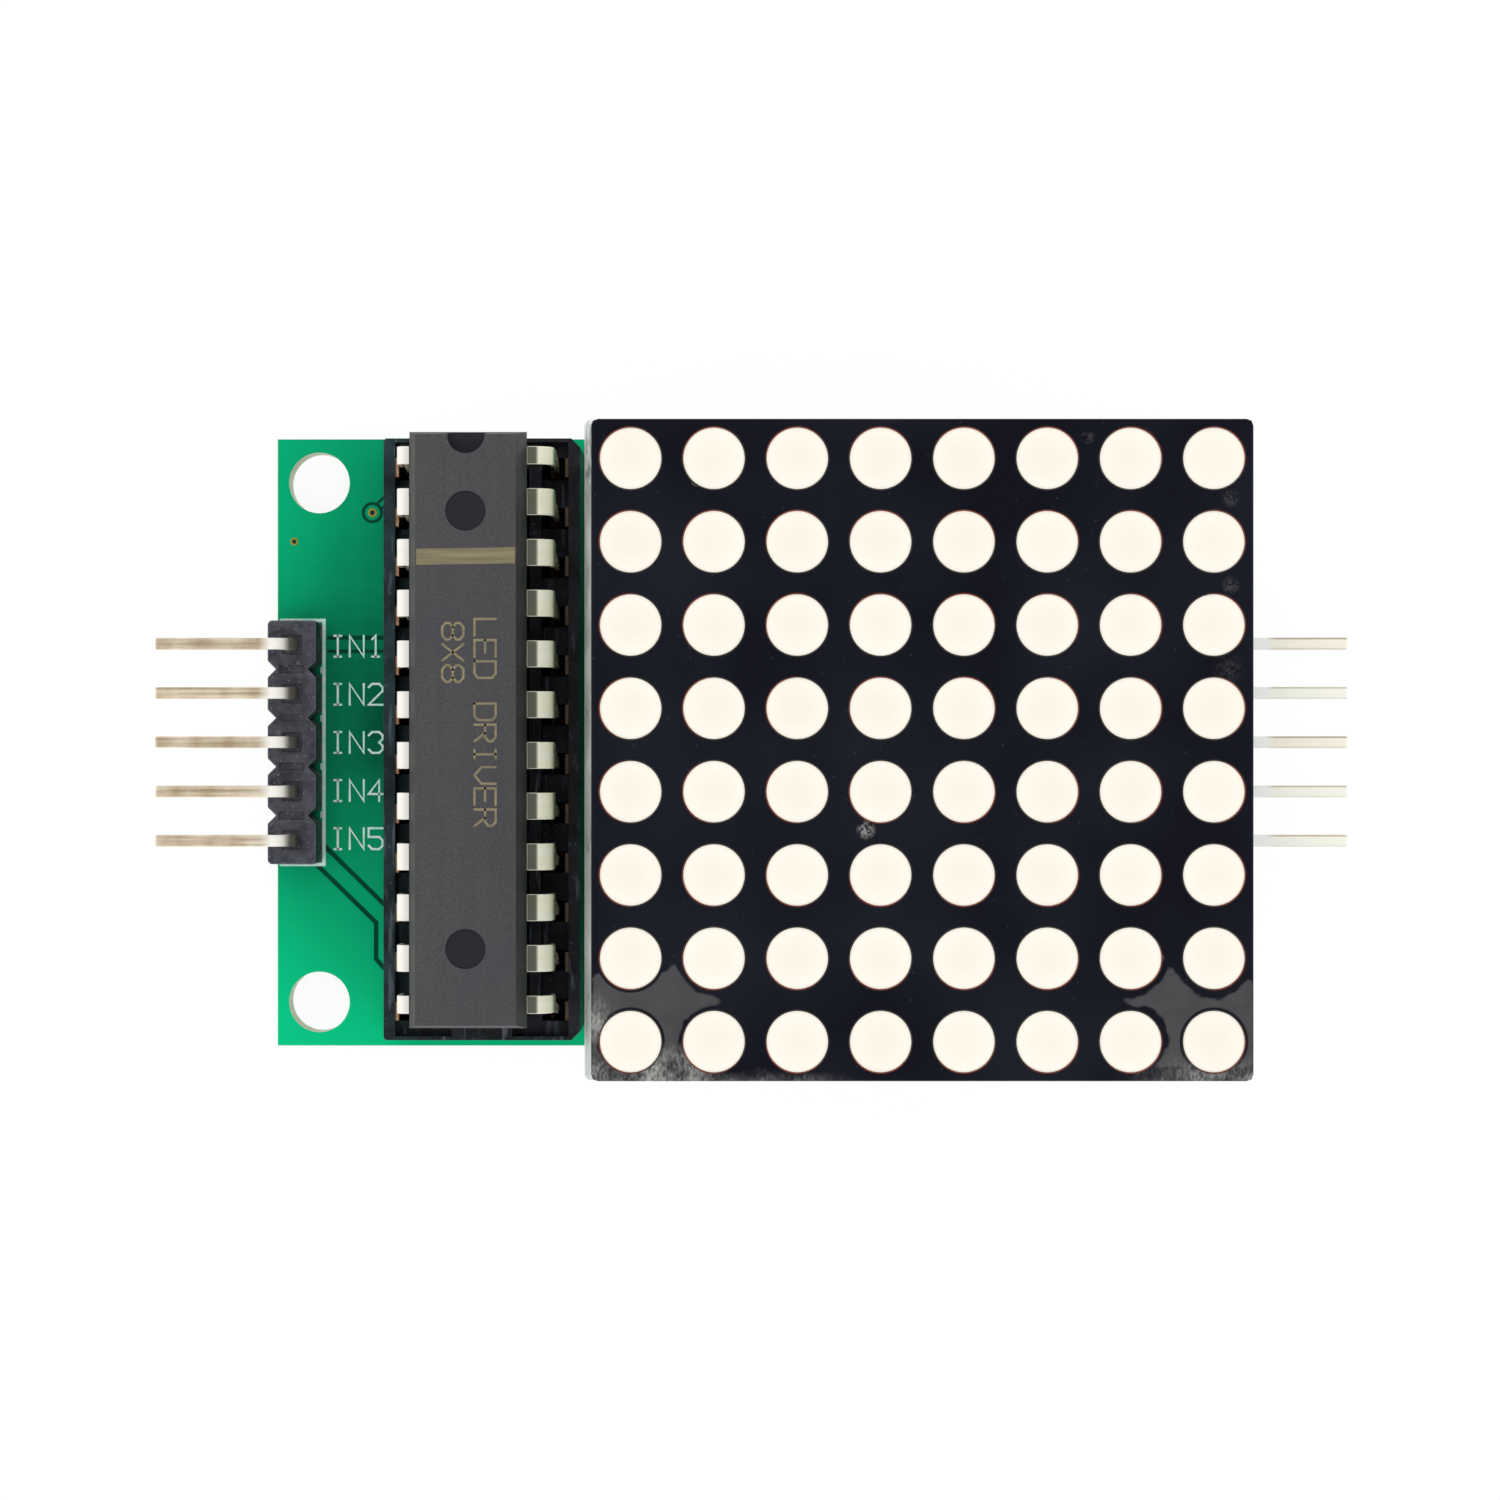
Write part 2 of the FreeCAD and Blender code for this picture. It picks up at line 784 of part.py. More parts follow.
def all_parts():
    parts = {"circuit_board": circuit_board()}
    for side, use in ((-1, "input"), (1, "output")):
        parts[use + "_header_body"] = header_body(side)
        for number, y in enumerate(reversed(header_ys()), 1):
            parts[use + "_header_pin_" + str(number)] = header_pin(side, y)
    parts["chip_socket_body"] = socket_body()
    parts["chip_body"] = chip_body()
    for side in (-1, 1):
        parts["chip_socket_contacts_" + side_name(side)] = socket_contacts(side)
        parts["chip_leads_" + side_name(side)] = chip_leads(side)
    for side in (-1, 1):
        parts["display_socket_body_" + row_name(side)] = strip_body(side)
        parts["display_socket_contacts_" + row_name(side)] = strip_contacts(side)
        parts["matrix_pins_" + row_name(side)] = matrix_pins(side)
    parts["matrix_housing"] = matrix_housing()
    parts["matrix_mask"] = matrix_mask()
    parts["matrix_board"] = matrix_board()
    parts["matrix_dies"] = matrix_dies()
    parts["matrix_potting"] = matrix_potting()
    parts["electrolytic_can"] = electrolytic_can()
    parts["electrolytic_bung"] = electrolytic_bung()
    parts["electrolytic_leads"] = electrolytic_leads()
    parts["ceramic_body"] = ceramic_body()
    parts["ceramic_leads"] = ceramic_leads()
    parts["resistor_body"] = resistor_body()
    parts["resistor_leads"] = resistor_leads()
    return parts


os.makedirs("parts", exist_ok=True)
for node, shape in all_parts().items():
    shape.exportStep("parts/" + node + ".step")
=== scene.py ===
import bpy
import random
from math import atan2, copysign, cos, hypot, pi, radians, sin
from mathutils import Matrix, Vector

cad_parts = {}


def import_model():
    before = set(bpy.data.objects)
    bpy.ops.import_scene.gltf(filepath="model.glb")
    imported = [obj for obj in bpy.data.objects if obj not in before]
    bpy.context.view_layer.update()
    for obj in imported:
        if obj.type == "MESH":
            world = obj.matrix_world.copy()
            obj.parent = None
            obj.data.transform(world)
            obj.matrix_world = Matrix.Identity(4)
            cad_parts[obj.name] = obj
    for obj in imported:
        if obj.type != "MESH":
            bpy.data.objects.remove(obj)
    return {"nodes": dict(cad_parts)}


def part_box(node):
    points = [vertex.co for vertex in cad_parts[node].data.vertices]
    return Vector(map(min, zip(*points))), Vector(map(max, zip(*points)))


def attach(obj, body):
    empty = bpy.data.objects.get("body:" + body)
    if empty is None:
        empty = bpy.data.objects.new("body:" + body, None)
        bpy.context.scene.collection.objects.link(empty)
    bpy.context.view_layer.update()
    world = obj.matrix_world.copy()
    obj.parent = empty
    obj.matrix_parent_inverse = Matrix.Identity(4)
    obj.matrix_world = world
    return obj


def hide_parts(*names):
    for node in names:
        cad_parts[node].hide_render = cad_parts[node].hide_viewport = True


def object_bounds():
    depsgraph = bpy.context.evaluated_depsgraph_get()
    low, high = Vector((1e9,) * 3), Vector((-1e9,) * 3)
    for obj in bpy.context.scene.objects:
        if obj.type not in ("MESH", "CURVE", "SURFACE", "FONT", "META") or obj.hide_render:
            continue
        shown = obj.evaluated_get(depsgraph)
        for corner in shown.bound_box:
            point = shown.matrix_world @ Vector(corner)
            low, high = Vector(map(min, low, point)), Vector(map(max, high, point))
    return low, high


# Looks of the LED dot matrix module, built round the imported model.
# Lengths are in millimetres. MM turns them into metres where a mesh, lamp or camera is made.

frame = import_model()
cad_low, cad_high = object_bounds()

MM = 0.001
BODY = "root"
# Less than this is no distance between two points of an outline
tiny = 1e-6


def span(node):
    """Lowest and highest corner of a CAD node."""
    low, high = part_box(node)
    return low / MM, high / MM


def middle(node):
    low, high = span(node)
    return (low + high) / 2


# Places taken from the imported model
board_high = span("circuit_board")[1]
board_top = board_high.z
tail_bottom = cad_low.z / MM
socket_high = span("chip_socket_body")[1]
socket_mid = middle("chip_socket_body")
socket_top = socket_high.z
chip_low, chip_high = span("chip_body")
chip_mid = middle("chip_body")
chip_top = chip_high.z
plate_low, plate_high = span("matrix_mask")
plate_bottom = plate_low.z
plate_top = plate_high.z
display_mid = middle("matrix_mask")

# Pin grid
pitch = 2.54
header_pin_count = 5
socket_row_count = 12
strip_pin_count = 8

# Camera, straight above the module
camera_x = -0.07
camera_y = -0.4
camera_z = 183.04
camera_lens = 82.48
camera_near = 10
camera_far = 10000
sensor_width = 36.0


# Meshes

line_end_steps = 3
# Circles of points in a flat washer, the last of them on the first
washer_circles = 5
weld_distance = 0.0005


class Shape:
    """Points and faces of one piece; materials numbers the faces that don't have its first."""

    def __init__(self):
        self.points = []
        self.faces = []
        self.materials = {}

    def add(self, points, faces):
        start = len(self.points)
        self.points += points
        self.faces += [tuple(start + i for i in face) for face in faces]

    def rings(self, rings, caps=None):
        """Skin through closed rings of equally many points, with caps on the first and last."""
        count = len(rings[0])
        last = (len(rings) - 1) * count
        faces = []
        for base in range(0, last, count):
            for i in range(count):
                j = (i + 1) % count
                faces.append((base + i, base + j, base + count + j, base + count + i))
        for cap in [range(count)] if caps is None else caps:
            faces.append(tuple(reversed(cap)))
            faces.append(tuple(last + i for i in cap))
        self.add([point for ring in rings for point in ring], faces)

    def ribbon(self, path, width, low, high):
        """Flat line of even width with round ends."""
        left, right = ribbon_sides([Vector(p) for p in path], width / 2)
        outline = right + round_end(right[-1], left[-1]) + left[::-1] + round_end(left[0], right[0])
        rings = [[(p.x, p.y, z) for p in outline] for z in (low, high)]
        self.rings(rings, ribbon_faces(len(right), len(outline)))

    def disc_ring(self, x, y, inner, outer, low, high, sides):
        """Flat washer."""
        section = ((inner, low), (outer, low), (outer, high), (inner, high), (inner, low))
        self.rings([circle(x, y, z, radius, sides) for radius, z in section], ())

    def make(self, name, materials, slot, smooth=35):
        """Piece of the module; edges sharper than an angle stay sharp. Its slot is not used."""
        mesh = bpy.data.meshes.new(name)
        mesh.from_pydata([Vector(p) * MM for p in self.points], [], self.faces)
        for material in materials:
            mesh.materials.append(finishes[material].material)
        for face, number in self.materials.items():
            mesh.polygons[face].material_index = number
        mesh.validate()
        if smooth:
            mesh.shade_smooth()
            mesh.set_sharp_from_angle(angle=radians(smooth))
        piece = bpy.data.objects.new(name, mesh)
        bpy.context.scene.collection.objects.link(piece)
        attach(piece, BODY)
        return piece


def ribbon_sides(path, half):
    """Left and right edge of a line, mitred at its corners."""
    left, right = [], []
    for i, point in enumerate(path):
        before = (point - path[i - 1]).normalized() if i else None
        after = (path[i + 1] - point).normalized() if i + 1 < len(path) else None
        normals = [Vector((-run.y, run.x)) for run in (before or after, after or before)]
        bisector = (normals[0] + normals[1]).normalized()
        reach = half / max(bisector.dot(normals[0]), 0.5)
        left.append(point + bisector * reach)
        right.append(point - bisector * reach)
    return left, right


def round_end(start, end):
    """Points between two edges of a line's end, bulging outwards."""
    centre = (start + end) / 2
    arm = start - centre
    points = []
    for step in range(1, line_end_steps + 1):
        angle = pi * step / (line_end_steps + 1)
        x = arm.x * cos(angle) - arm.y * sin(angle)
        y = arm.x * sin(angle) + arm.y * cos(angle)
        points.append(centre + Vector((x, y)))
    return points


def ribbon_faces(length, count):
    """Quads along a line and one face at each round end, by outline index."""
    last = 2 * length + line_end_steps - 1
    faces = [(i, i + 1, last - i - 1, last - i) for i in range(length - 1)]
    return [*faces, range(length - 1, length + line_end_steps + 1), (*range(last, count), 0)]


def circle(x, y, z, radius, sides):
    angles = [2 * pi * i / sides for i in range(sides)]
    return [(x + radius * cos(angle), y + radius * sin(angle), z) for angle in angles]


def grid_offsets(count, step):
    return [(i - (count - 1) / 2) * step for i in range(count)]


def edges(outline):
    """Pairs of neighbouring points round an outline."""
    return zip(outline, outline[1:] + outline[:1])


def edge_distance(x, y, first, second):
    """Distance of a point from a straight edge."""
    start = Vector(first)
    run = Vector(second) - start
    point = Vector((x, y)) - start
    share = min(1.0, max(0.0, point.dot(run) / run.length_squared))
    return (point - run * share).length


def bevel(piece, width, segments=2, angle=30):
    """Joins doubled points and rounds the edges a little."""
    weld = piece.modifiers.new("weld", "WELD")
    weld.merge_threshold = weld_distance * MM
    edge = piece.modifiers.new("edge", "BEVEL")
    edge.width = width * MM
    edge.segments = segments
    edge.limit_method = "ANGLE"
    edge.angle_limit = radians(angle)
    edge.miter_outer = "MITER_ARC"
    edge.harden_normals = False


def replace(piece, *nodes):
    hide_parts(*nodes)
    return piece


# Materials

WHITE = (1.0, 1.0, 1.0, 1.0)


def srgb(red, green, blue):
    """Linear colour of an eight-bit display colour."""
    values = []
    for value in (red, green, blue):
        part = value / 255
        values.append(part / 12.92 if part <= 0.04045 else ((part + 0.055) / 1.055) ** 2.4)
    return (*values, 1.0)


def operator(operation):
    return lambda self, other: self.nodes.math(operation, self, other)


class Value:
    """Output of a node, with plain arithmetic on it."""

    __add__ = operator("ADD")
    __sub__ = operator("SUBTRACT")
    __mul__ = operator("MULTIPLY")
    __truediv__ = operator("DIVIDE")
    __gt__ = operator("GREATER_THAN")
    __lt__ = operator("LESS_THAN")

    def __init__(self, nodes, socket):
        self.nodes = nodes
        self.socket = socket

    def __abs__(self):
        return self.nodes.math("ABSOLUTE", self)


class Nodes:
    """A node tree, with short calls that add to it.

    A colour of three parts is given in eight-bit display values, and one of four is linear."""

    def __init__(self, tree):
        self.tree = tree

    def put(self, socket, value):
        if isinstance(value, Value):
            self.tree.links.new(value.socket, socket)
        elif socket.type == "RGBA" and len(value) == 3:
            socket.default_value = srgb(*value)
        else:
            socket.default_value = value

    def node(self, kind, inputs=None, **settings):
        node = self.tree.nodes.new("ShaderNode" + kind)
        for key, value in settings.items():
            setattr(node, key, value)
        for key, value in (inputs or {}).items():
            self.put(node.inputs[key], value)
        return node

    def out(self, kind, output, inputs=None, **settings):
        """One output of a new node."""
        return Value(self, self.node(kind, inputs, **settings).outputs[output])

    def math(self, operation, first, second=0.0):
        return self.out("Math", 0, {0: first, 1: second}, operation=operation)

    def axis(self, index, source):
        return self.out("SeparateXYZ", index, {0: source})

    def between(self, value, low, high, to_low=0.0, to_high=1.0):
        """Number mapped from one range to another, held at its ends."""
        names = ("Value", "From Min", "From Max", "To Min", "To Max")
        return self.out("MapRange", "Result", dict(zip(names, (value, low, high, to_low, to_high))))

    def mix(self, factor, low, high):
        """Colour between two others."""
        return self.out("Mix", 2, {"Factor": factor, 6: low, 7: high}, data_type="RGBA")


# How far a face that counts as level, upright or a rounded upper edge looks up, from 0 to 1
level_from = 0.9
upright_to = 0.5
edge_from = 0.4
edge_to = 0.97


class Finish(Nodes):
    """One material. Its places x, y and z are in millimetres."""

    x = property(lambda self: self.axis(0, self.place) / MM)
    y = property(lambda self: self.axis(1, self.place) / MM)
    z = property(lambda self: self.axis(2, self.place) / MM)

    def __init__(self, name, **values):
        self.material = bpy.data.materials.new(name)
        self.material.use_nodes = True
        super().__init__(self.material.node_tree)
        self.surface = self.tree.nodes["Principled BSDF"].inputs
        for key, value in values.items():
            self.put(self.surface[key.replace("_", " ")], value)
        self.place = self.out("TexCoord", "Object")

    def color(self, value):
        self.put(self.surface["Base Color"], value)

    def roughness(self, value):
        self.put(self.surface["Roughness"], value)

    def bump(self, height, depth):
        """Relief of the surface, with its depth in millimetres."""
        inputs = {"Strength": 1.0, "Distance": depth * MM, "Height": height}
        self.put(self.surface["Normal"], self.out("Bump", "Normal", inputs))

    def noise(self, per_mm, detail=2.0, stretch=None):
        place = self.place
        if stretch:
            place = self.out("Mapping", "Vector", {"Vector": place, "Scale": stretch})
        return self.out("TexNoise", "Fac", {"Vector": place, "Scale": per_mm / MM, "Detail": detail})

    def specks(self, per_mm, size):
        """One where a sparse round speck lies."""
        away = self.out("TexVoronoi", "Distance", {"Vector": self.place, "Scale": per_mm / MM})
        return self.between(away, size * 0.6, size, 1.0, 0.0)

    def stored(self, name):
        """Numbers kept on the mesh's points."""
        return self.out("Attribute", "Vector", attribute_name=name)

    def away(self, x, y):
        """Distance from an upright line through a point of the module."""
        across = self.x - x
        along = self.y - y
        return self.math("SQRT", across * across + along * along)

    def height(self, low, high):
        """Zero below one height and one above another."""
        return self.between(self.z, low, high)

    def up(self, normal="Normal"):
        """How far a face looks up."""
        return self.axis(2, self.out("NewGeometry", normal))

    def level(self):
        """One on faces that look up."""
        return self.up() > level_from

    def upright(self):
        """One on upright faces."""
        return abs(self.up()) < upright_to

    def rounded_edge(self):
        """One on the narrow faces that round an upper edge."""
        up = self.up("True Normal")
        return (up > edge_from) * (up < edge_to)

    def drift(self, low, high, *noise):
        """Number that drifts between two values."""
        return self.between(self.noise(*noise), 0.3, 0.7, low, high)


# Colours of the board's green with painted light and shade, from its painted dark middle to its painted
# bright corner
green_painted_shade = (0, 80, 60)
green_painted_middle = (0, 160, 108)
green_painted_light = (0, 204, 138)
# Point where the board's painted shade is darkest, where that painted shade ends each way and how
# bright the painted light is there
shade_x = -19.5
shade_y = 1.0
shade_reach_x = 4.5
shade_upper = 8.5
shade_fade_up = 0.95
shade_lower = -14.0
shade_fade_down = 2.4
# Half width and half length of the board's part in the socket that is painted dark as shade under the
# chip
socket_opening_half = 4.6
socket_opening_long = 15.0
# Thickness of the board's top that carries that painted shade
socket_shade_depth = 0.1


def board_finish():
    """Solder resist over glass laminate, with painted shade near the chip socket, painted light towards
    the board's edges and painted shade under the chip.
    """
    f = Finish("solder_resist", Specular_IOR_Level=0.2)
    # Painted light and shade: the green darkens towards a point between the input header and the chip
    # socket and brightens away from it
    across = (f.x - shade_x) / shade_reach_x
    along = f.between(f.y, shade_lower, shade_y, shade_fade_down, 0.0)
    along = along + f.between(f.y, shade_y, shade_upper, 0.0, shade_fade_up)
    far = f.math("SQRT", across * across + along * along)
    far = far + f.drift(-0.12, 0.12, 0.12, 1.0)
    green = f.mix(f.between(far, 0.1, 1.15), green_painted_shade, green_painted_middle)
    green = f.mix(f.between(far, 1.15, 2.6), green, green_painted_light)
    cloth = f.noise(1.6, 1.0, (1.0, 0.08, 1.0)) + f.noise(1.6, 1.0, (0.08, 1.0, 1.0))
    green = f.mix(f.between(cloth, 0.7, 1.3, 0.0, 0.10), green, (0, 196, 132))
    core = f.mix(f.noise(6.0, 3.0, (0.2, 0.2, 3.0)), (222, 230, 204), (253, 253, 240))
    # Painted shade: the board inside the socket's opening, under the chip, is darkened
    painted_socket_shade = abs(f.x - socket_mid.x) < socket_opening_half
    painted_socket_shade = painted_socket_shade * (abs(f.y - socket_mid.y) < socket_opening_long)
    painted_socket_shade = painted_socket_shade * f.height(board_top - 2 * socket_shade_depth, board_top - socket_shade_depth)
    green = f.mix(painted_socket_shade, green, (0, 30, 24))
    f.color(f.mix(f.upright(), green, core))
    f.roughness(f.between(f.upright(), 0.0, 1.0, 0.12, 0.75))
    f.bump(cloth + f.noise(3.0, 3.0), 0.006)
    return f


def copper_finish():
    """Copper under the resist: a darker green line."""
    f = Finish("covered_track", Roughness=0.12, Specular_IOR_Level=0.3)
    f.color(f.mix(f.noise(1.5), (0, 62, 46), (0, 84, 60)))
    f.bump(f.noise(5.0), 0.004)
    return f


def print_finish():
    """White component print, thin enough to let some green through."""
    f = Finish("white_print", Roughness=0.6, Specular_IOR_Level=0.2)
    worn = f.between(f.noise(3.5, 4.0), 0.35, 0.6)
    f.color(f.mix(worn, (190, 250, 236), (236, 255, 252)))
    f.bump(f.noise(12.0), 0.004)
    return f


def header_finish():
    """Black moulded plastic with pale scuffs, a painted highlight on its rounded upper edges, and
    painted shade with a painted green reflection on its upright walls.
    """
    f = Finish("header_plastic", Specular_IOR_Level=0.25)
    grain = f.noise(1.6, 5.0)
    base = f.mix(f.between(grain, 0.3, 0.7), (47, 49, 58), (82, 82, 92))
    scuff = f.between(f.noise(5.0, 4.0), 0.6, 0.7)
    base = f.mix(scuff * 0.6, base, (124, 126, 136))
    # Painted highlight on the rounded upper edges
    base = f.mix(f.rounded_edge() * 0.35, base, (124, 128, 136))
    # Painted shade and painted green reflection on the upright walls
    f.color(f.mix(f.upright(), base, (2, 30, 34)))
    f.roughness(f.between(grain, 0.3, 0.7, 0.36, 0.6))
    f.bump(f.noise(9.0, 4.0), 0.01)
    return f


# Distances from the middle between which a pin's painted shade, where it turns down, gives way to its
# tone, and between which the painted highlight of its bend fades out
pin_turn_from = 23.85
pin_turn_to = 24.15
pin_bend_from = 24.75
pin_bend_to = 25.4


def pin_finish(name, dull, pale, metallic):
    """Tinned pin, drawn lengthwise, with a painted highlight at its bend and painted shade where it
    goes down.
    """
    f = Finish(name)
    drawn = f.noise(7.0, 3.0, (0.03, 1.0, 1.0))
    tone = f.mix(f.between(drawn + f.noise(0.8, 3.0), 0.75, 1.25), dull, pale)
    out = abs(f.x)
    # Painted highlight at the bend, less metallic there
    bend_highlight = f.between(out, pin_bend_from, pin_bend_to, 1.0, 0.0)
    tone = f.mix(bend_highlight, tone, (255, 253, 244))
    # Painted shade inwards of where the pin turns down
    f.color(f.mix(f.between(out, pin_turn_from, pin_turn_to), (120, 116, 106), tone))
    f.put(f.surface["Metallic"], f.between(bend_highlight, 0.0, 1.0, metallic, metallic * 0.2))
    f.roughness(f.between(drawn, 0.3, 0.7, 0.28, 0.42))
    f.bump(drawn, 0.006)
    return f


# Half width of an output pin's pale middle, the soft edges beside it, and where its painted white near
# the display gives way to its tone
glare_half = 0.2
glare_lower_soft = 0.06
glare_upper_soft = 0.05
glare_from = 26.45
glare_full = 26.95


def glare_finish(name, middle_tone, edge_tone):
    """Tinned pin with full glare painted into its colour as near white, and a thin tan line along its
    upper edge.
    """
    f = Finish(name, Metallic=0.05)
    across = f.y - f.math("ROUND", f.y / pitch) * pitch
    tone = f.mix(f.noise(5.0, 3.0, (0.05, 1.0, 1.0)), middle_tone, (255, 254, 246))
    lower = f.between(across, -glare_half, -glare_half - glare_lower_soft)
    tone = f.mix(lower * 0.35, tone, edge_tone)
    tone = f.mix(f.between(across, glare_half, glare_half + glare_upper_soft), tone, edge_tone)
    # Painted light: near the display the pin is painted pure white over the display's shade
    f.color(f.mix(f.between(f.x, glare_from, glare_full), (255, 255, 253), tone))
    f.roughness(f.drift(0.34, 0.46, 5.0, 3.0))
    return f


def socket_finish():
    """Black moulded frame, scuffed along its walls, with painted light and a painted teal reflection on
    its part left of the chip.
    """
    f = Finish("socket_plastic", Specular_IOR_Level=0.18)
    mottle = f.between(f.noise(0.7, 4.0), 0.35, 0.65)
    black = f.mix(mottle, (18, 19, 24), (38, 40, 47))
    # Painted light and painted teal reflection on the frame left of the chip
    base = f.mix(f.x < chip_low.x, black, f.mix(mottle, (18, 30, 34), (36, 58, 62)))
    scrape = f.between(f.noise(2.4, 5.0, (1.0, 0.12, 1.0)), 0.6, 0.68)
    nick = f.between(f.noise(4.5, 4.0), 0.66, 0.72)
    worn = f.math("MAXIMUM", scrape, nick) * f.level()
    rubbed = f.rounded_edge() * f.between(f.noise(1.2, 3.0), 0.45, 0.6, 0.0, 0.5)
    worn = f.math("MAXIMUM", worn, rubbed)
    f.color(f.mix(worn * 0.5, base, (110, 116, 128)))
    f.roughness(f.between(worn, 0.0, 1.0, 0.4, 0.62))
    f.bump(f.noise(6.0, 4.0), 0.012)
    return f


# Heights between which painted shade darkens the socket's springs down in their pockets
spring_unshaded_above = socket_top - 0.45
spring_shaded_below = socket_top - 0.8


def contact_finish():
    """Phosphor bronze spring with painted shade down in its pocket and on the row right of the chip,
    tinned under the board.
    """
    f = Finish("spring_bronze", Metallic=1.0)
    bronze = f.mix(f.noise(2.5, 3.0, (1.0, 1.0, 0.1)), (176, 124, 88), (224, 184, 148))
    # Painted shade on the row of springs right of the chip
    shaded = f.between(f.x, chip_mid.x - 1.0, chip_mid.x + 1.0) * (f.x < socket_high.x + 1.0)
    bronze = f.mix(shaded, bronze, (104, 88, 72))
    # Painted shade down in the pockets
    deep = f.mix(f.height(spring_shaded_below, spring_unshaded_above), (38, 26, 22), bronze)
    f.color(f.mix(f.height(0.0, 0.1), (196, 198, 198), deep))
    f.roughness(f.drift(0.24, 0.4, 5.0, 3.0))
    return f


# Height below which a face of the chip lies in its notch or a round mark
chip_recess_line = chip_top - 0.05


def chip_finish():
    """Grey moulding compound, with painted shade on its sides and a painted highlight on its rounded
    upper edges; the notch and round marks are smoother and darker, partly as their own polish and
    partly as painted shade in their recess.
    """
    f = Finish("moulding_compound", Specular_IOR_Level=0.3)
    tone = f.noise(9.0, 3.0) * 0.8 + f.noise(2.0, 3.0, (1.0, 0.08, 1.0)) * 0.2
    base = f.mix(f.between(tone, 0.35, 0.65), (62, 61, 63), (81, 79, 80))
    base = f.mix(f.drift(0.0, 0.5, 0.15, 1.0), base, (66, 65, 72))
    # Painted shade on the sides
    base = f.mix(f.upright(), base, (62, 61, 62))
    # Painted highlight on the rounded upper edges
    base = f.mix(f.rounded_edge(), base, (106, 105, 106))
    # Darker in the notch and round marks: partly their own polish, partly painted shade in the recess
    sunk_polish_and_shade = f.level() * (f.z < chip_recess_line)
    f.color(f.mix(sunk_polish_and_shade, base, (36, 36, 44)))
    f.roughness(f.between(sunk_polish_and_shade, 0.0, 1.0, 0.62, 0.26))
    f.bump(tone * f.math("SUBTRACT", 1.0, sunk_polish_and_shade), 0.012)
    return f


def marking_finish():
    """Thin gold-brown marking with fine streaks across it."""
    f = Finish("laser_marking", Roughness=0.55)
    streak = f.noise(5.0, 3.0, (0.06, 1.0, 1.0))
    f.color(f.mix(f.between(streak, 0.35, 0.65), (116, 106, 82), (142, 130, 98)))
    f.bump(streak, 0.006)
    return f


def lead_finish(name, flat, dull, pale, edge, metallic):
    """Tin-plated lead with painted light: a painted reflection as the tone of its flat top, a painted
    highlight on its pale bend and painted shade where it is upright.
    """
    f = Finish(name, Metallic=metallic)
    up = f.up()
    drawn = f.noise(3.0, 2.0, (0.1, 1.0, 0.1))
    bend = f.mix(f.between(drawn, 0.3, 0.7), dull, pale)
    # Painted reflection on the flat top
    tone = f.mix(f.between(up, 0.985, 0.999), bend, flat)
    # Painted shade where the lead is upright
    f.color(f.mix(f.between(up, 0.22, 0.42), edge, tone))
    f.roughness(f.between(drawn, 0.3, 0.7, 0.18, 0.26))
    return f


# Where the shell's left wall starts to be flecked, near its upper end, and where it is in full
shell_fleck_from = 12.0
shell_fleck_full = 13.0
# Top of the painted highlight line along the foot of the shell's walls, and half its soft edge
shell_line_top = plate_low.z - 6.4
shell_line_soft = 0.1


def shell_finish():
    """Pale grey moulded shell, cloudy, with pale and dark flecks near one end of its left wall and a
    painted highlight line along the foot of its walls.
    """
    f = Finish("display_shell")
    cloud = f.noise(0.35, 4.0, (1.0, 1.0, 0.4))
    base = f.mix(f.between(cloud, 0.3, 0.7), (176, 187, 180), (210, 218, 212))
    fleck = f.between(f.noise(2.6, 5.0, (1.0, 1.0, 0.5)), 0.62, 0.68)
    worn = f.between(f.y, shell_fleck_from, shell_fleck_full) * (f.x < plate_low.x + 0.02)
    patches = f.noise(1.7, 4.0, (1.0, 1.0, 0.3))
    many = worn * f.between(patches, 0.5, 0.56)
    dents = worn * f.between(patches, 0.38, 0.44, 1.0, 0.0)
    base = f.mix(f.math("MAXIMUM", fleck * 0.35, many * 0.9), base, (250, 252, 250))
    base = f.mix(dents * 0.7, base, (122, 132, 130))
    # Painted highlight along the foot of the walls
    line = f.z + f.drift(-0.05, 0.05, 0.5, 2.0, (1.0, 1.0, 0.0))
    above = f.between(line, shell_line_top - shell_line_soft, shell_line_top + shell_line_soft)
    f.color(f.mix(above, (232, 237, 233), base))
    f.roughness(f.between(cloud, 0.3, 0.7, 0.25, 0.5))
    f.bump(f.noise(3.0, 4.0), 0.01)
    return f


# Dark line that stays between a lifted patch and a dot, and half its soft edge
lifted_gap = 0.1
lifted_gap_soft = 0.03
# Small scuffs of the face on the module: x, y, reach and strength
face_spots = (
    (5.5, -4.24, 0.5, 0.85),
    (22.9, 3.5, 0.9, 0.07),
    (18.9, 14.6, 0.5, 0.14),
    (16.15, 14.6, 0.4, 0.12),
    (23.0, 11.7, 0.5, 0.14),
    (23.0, 7.5, 0.5, 0.14),
)


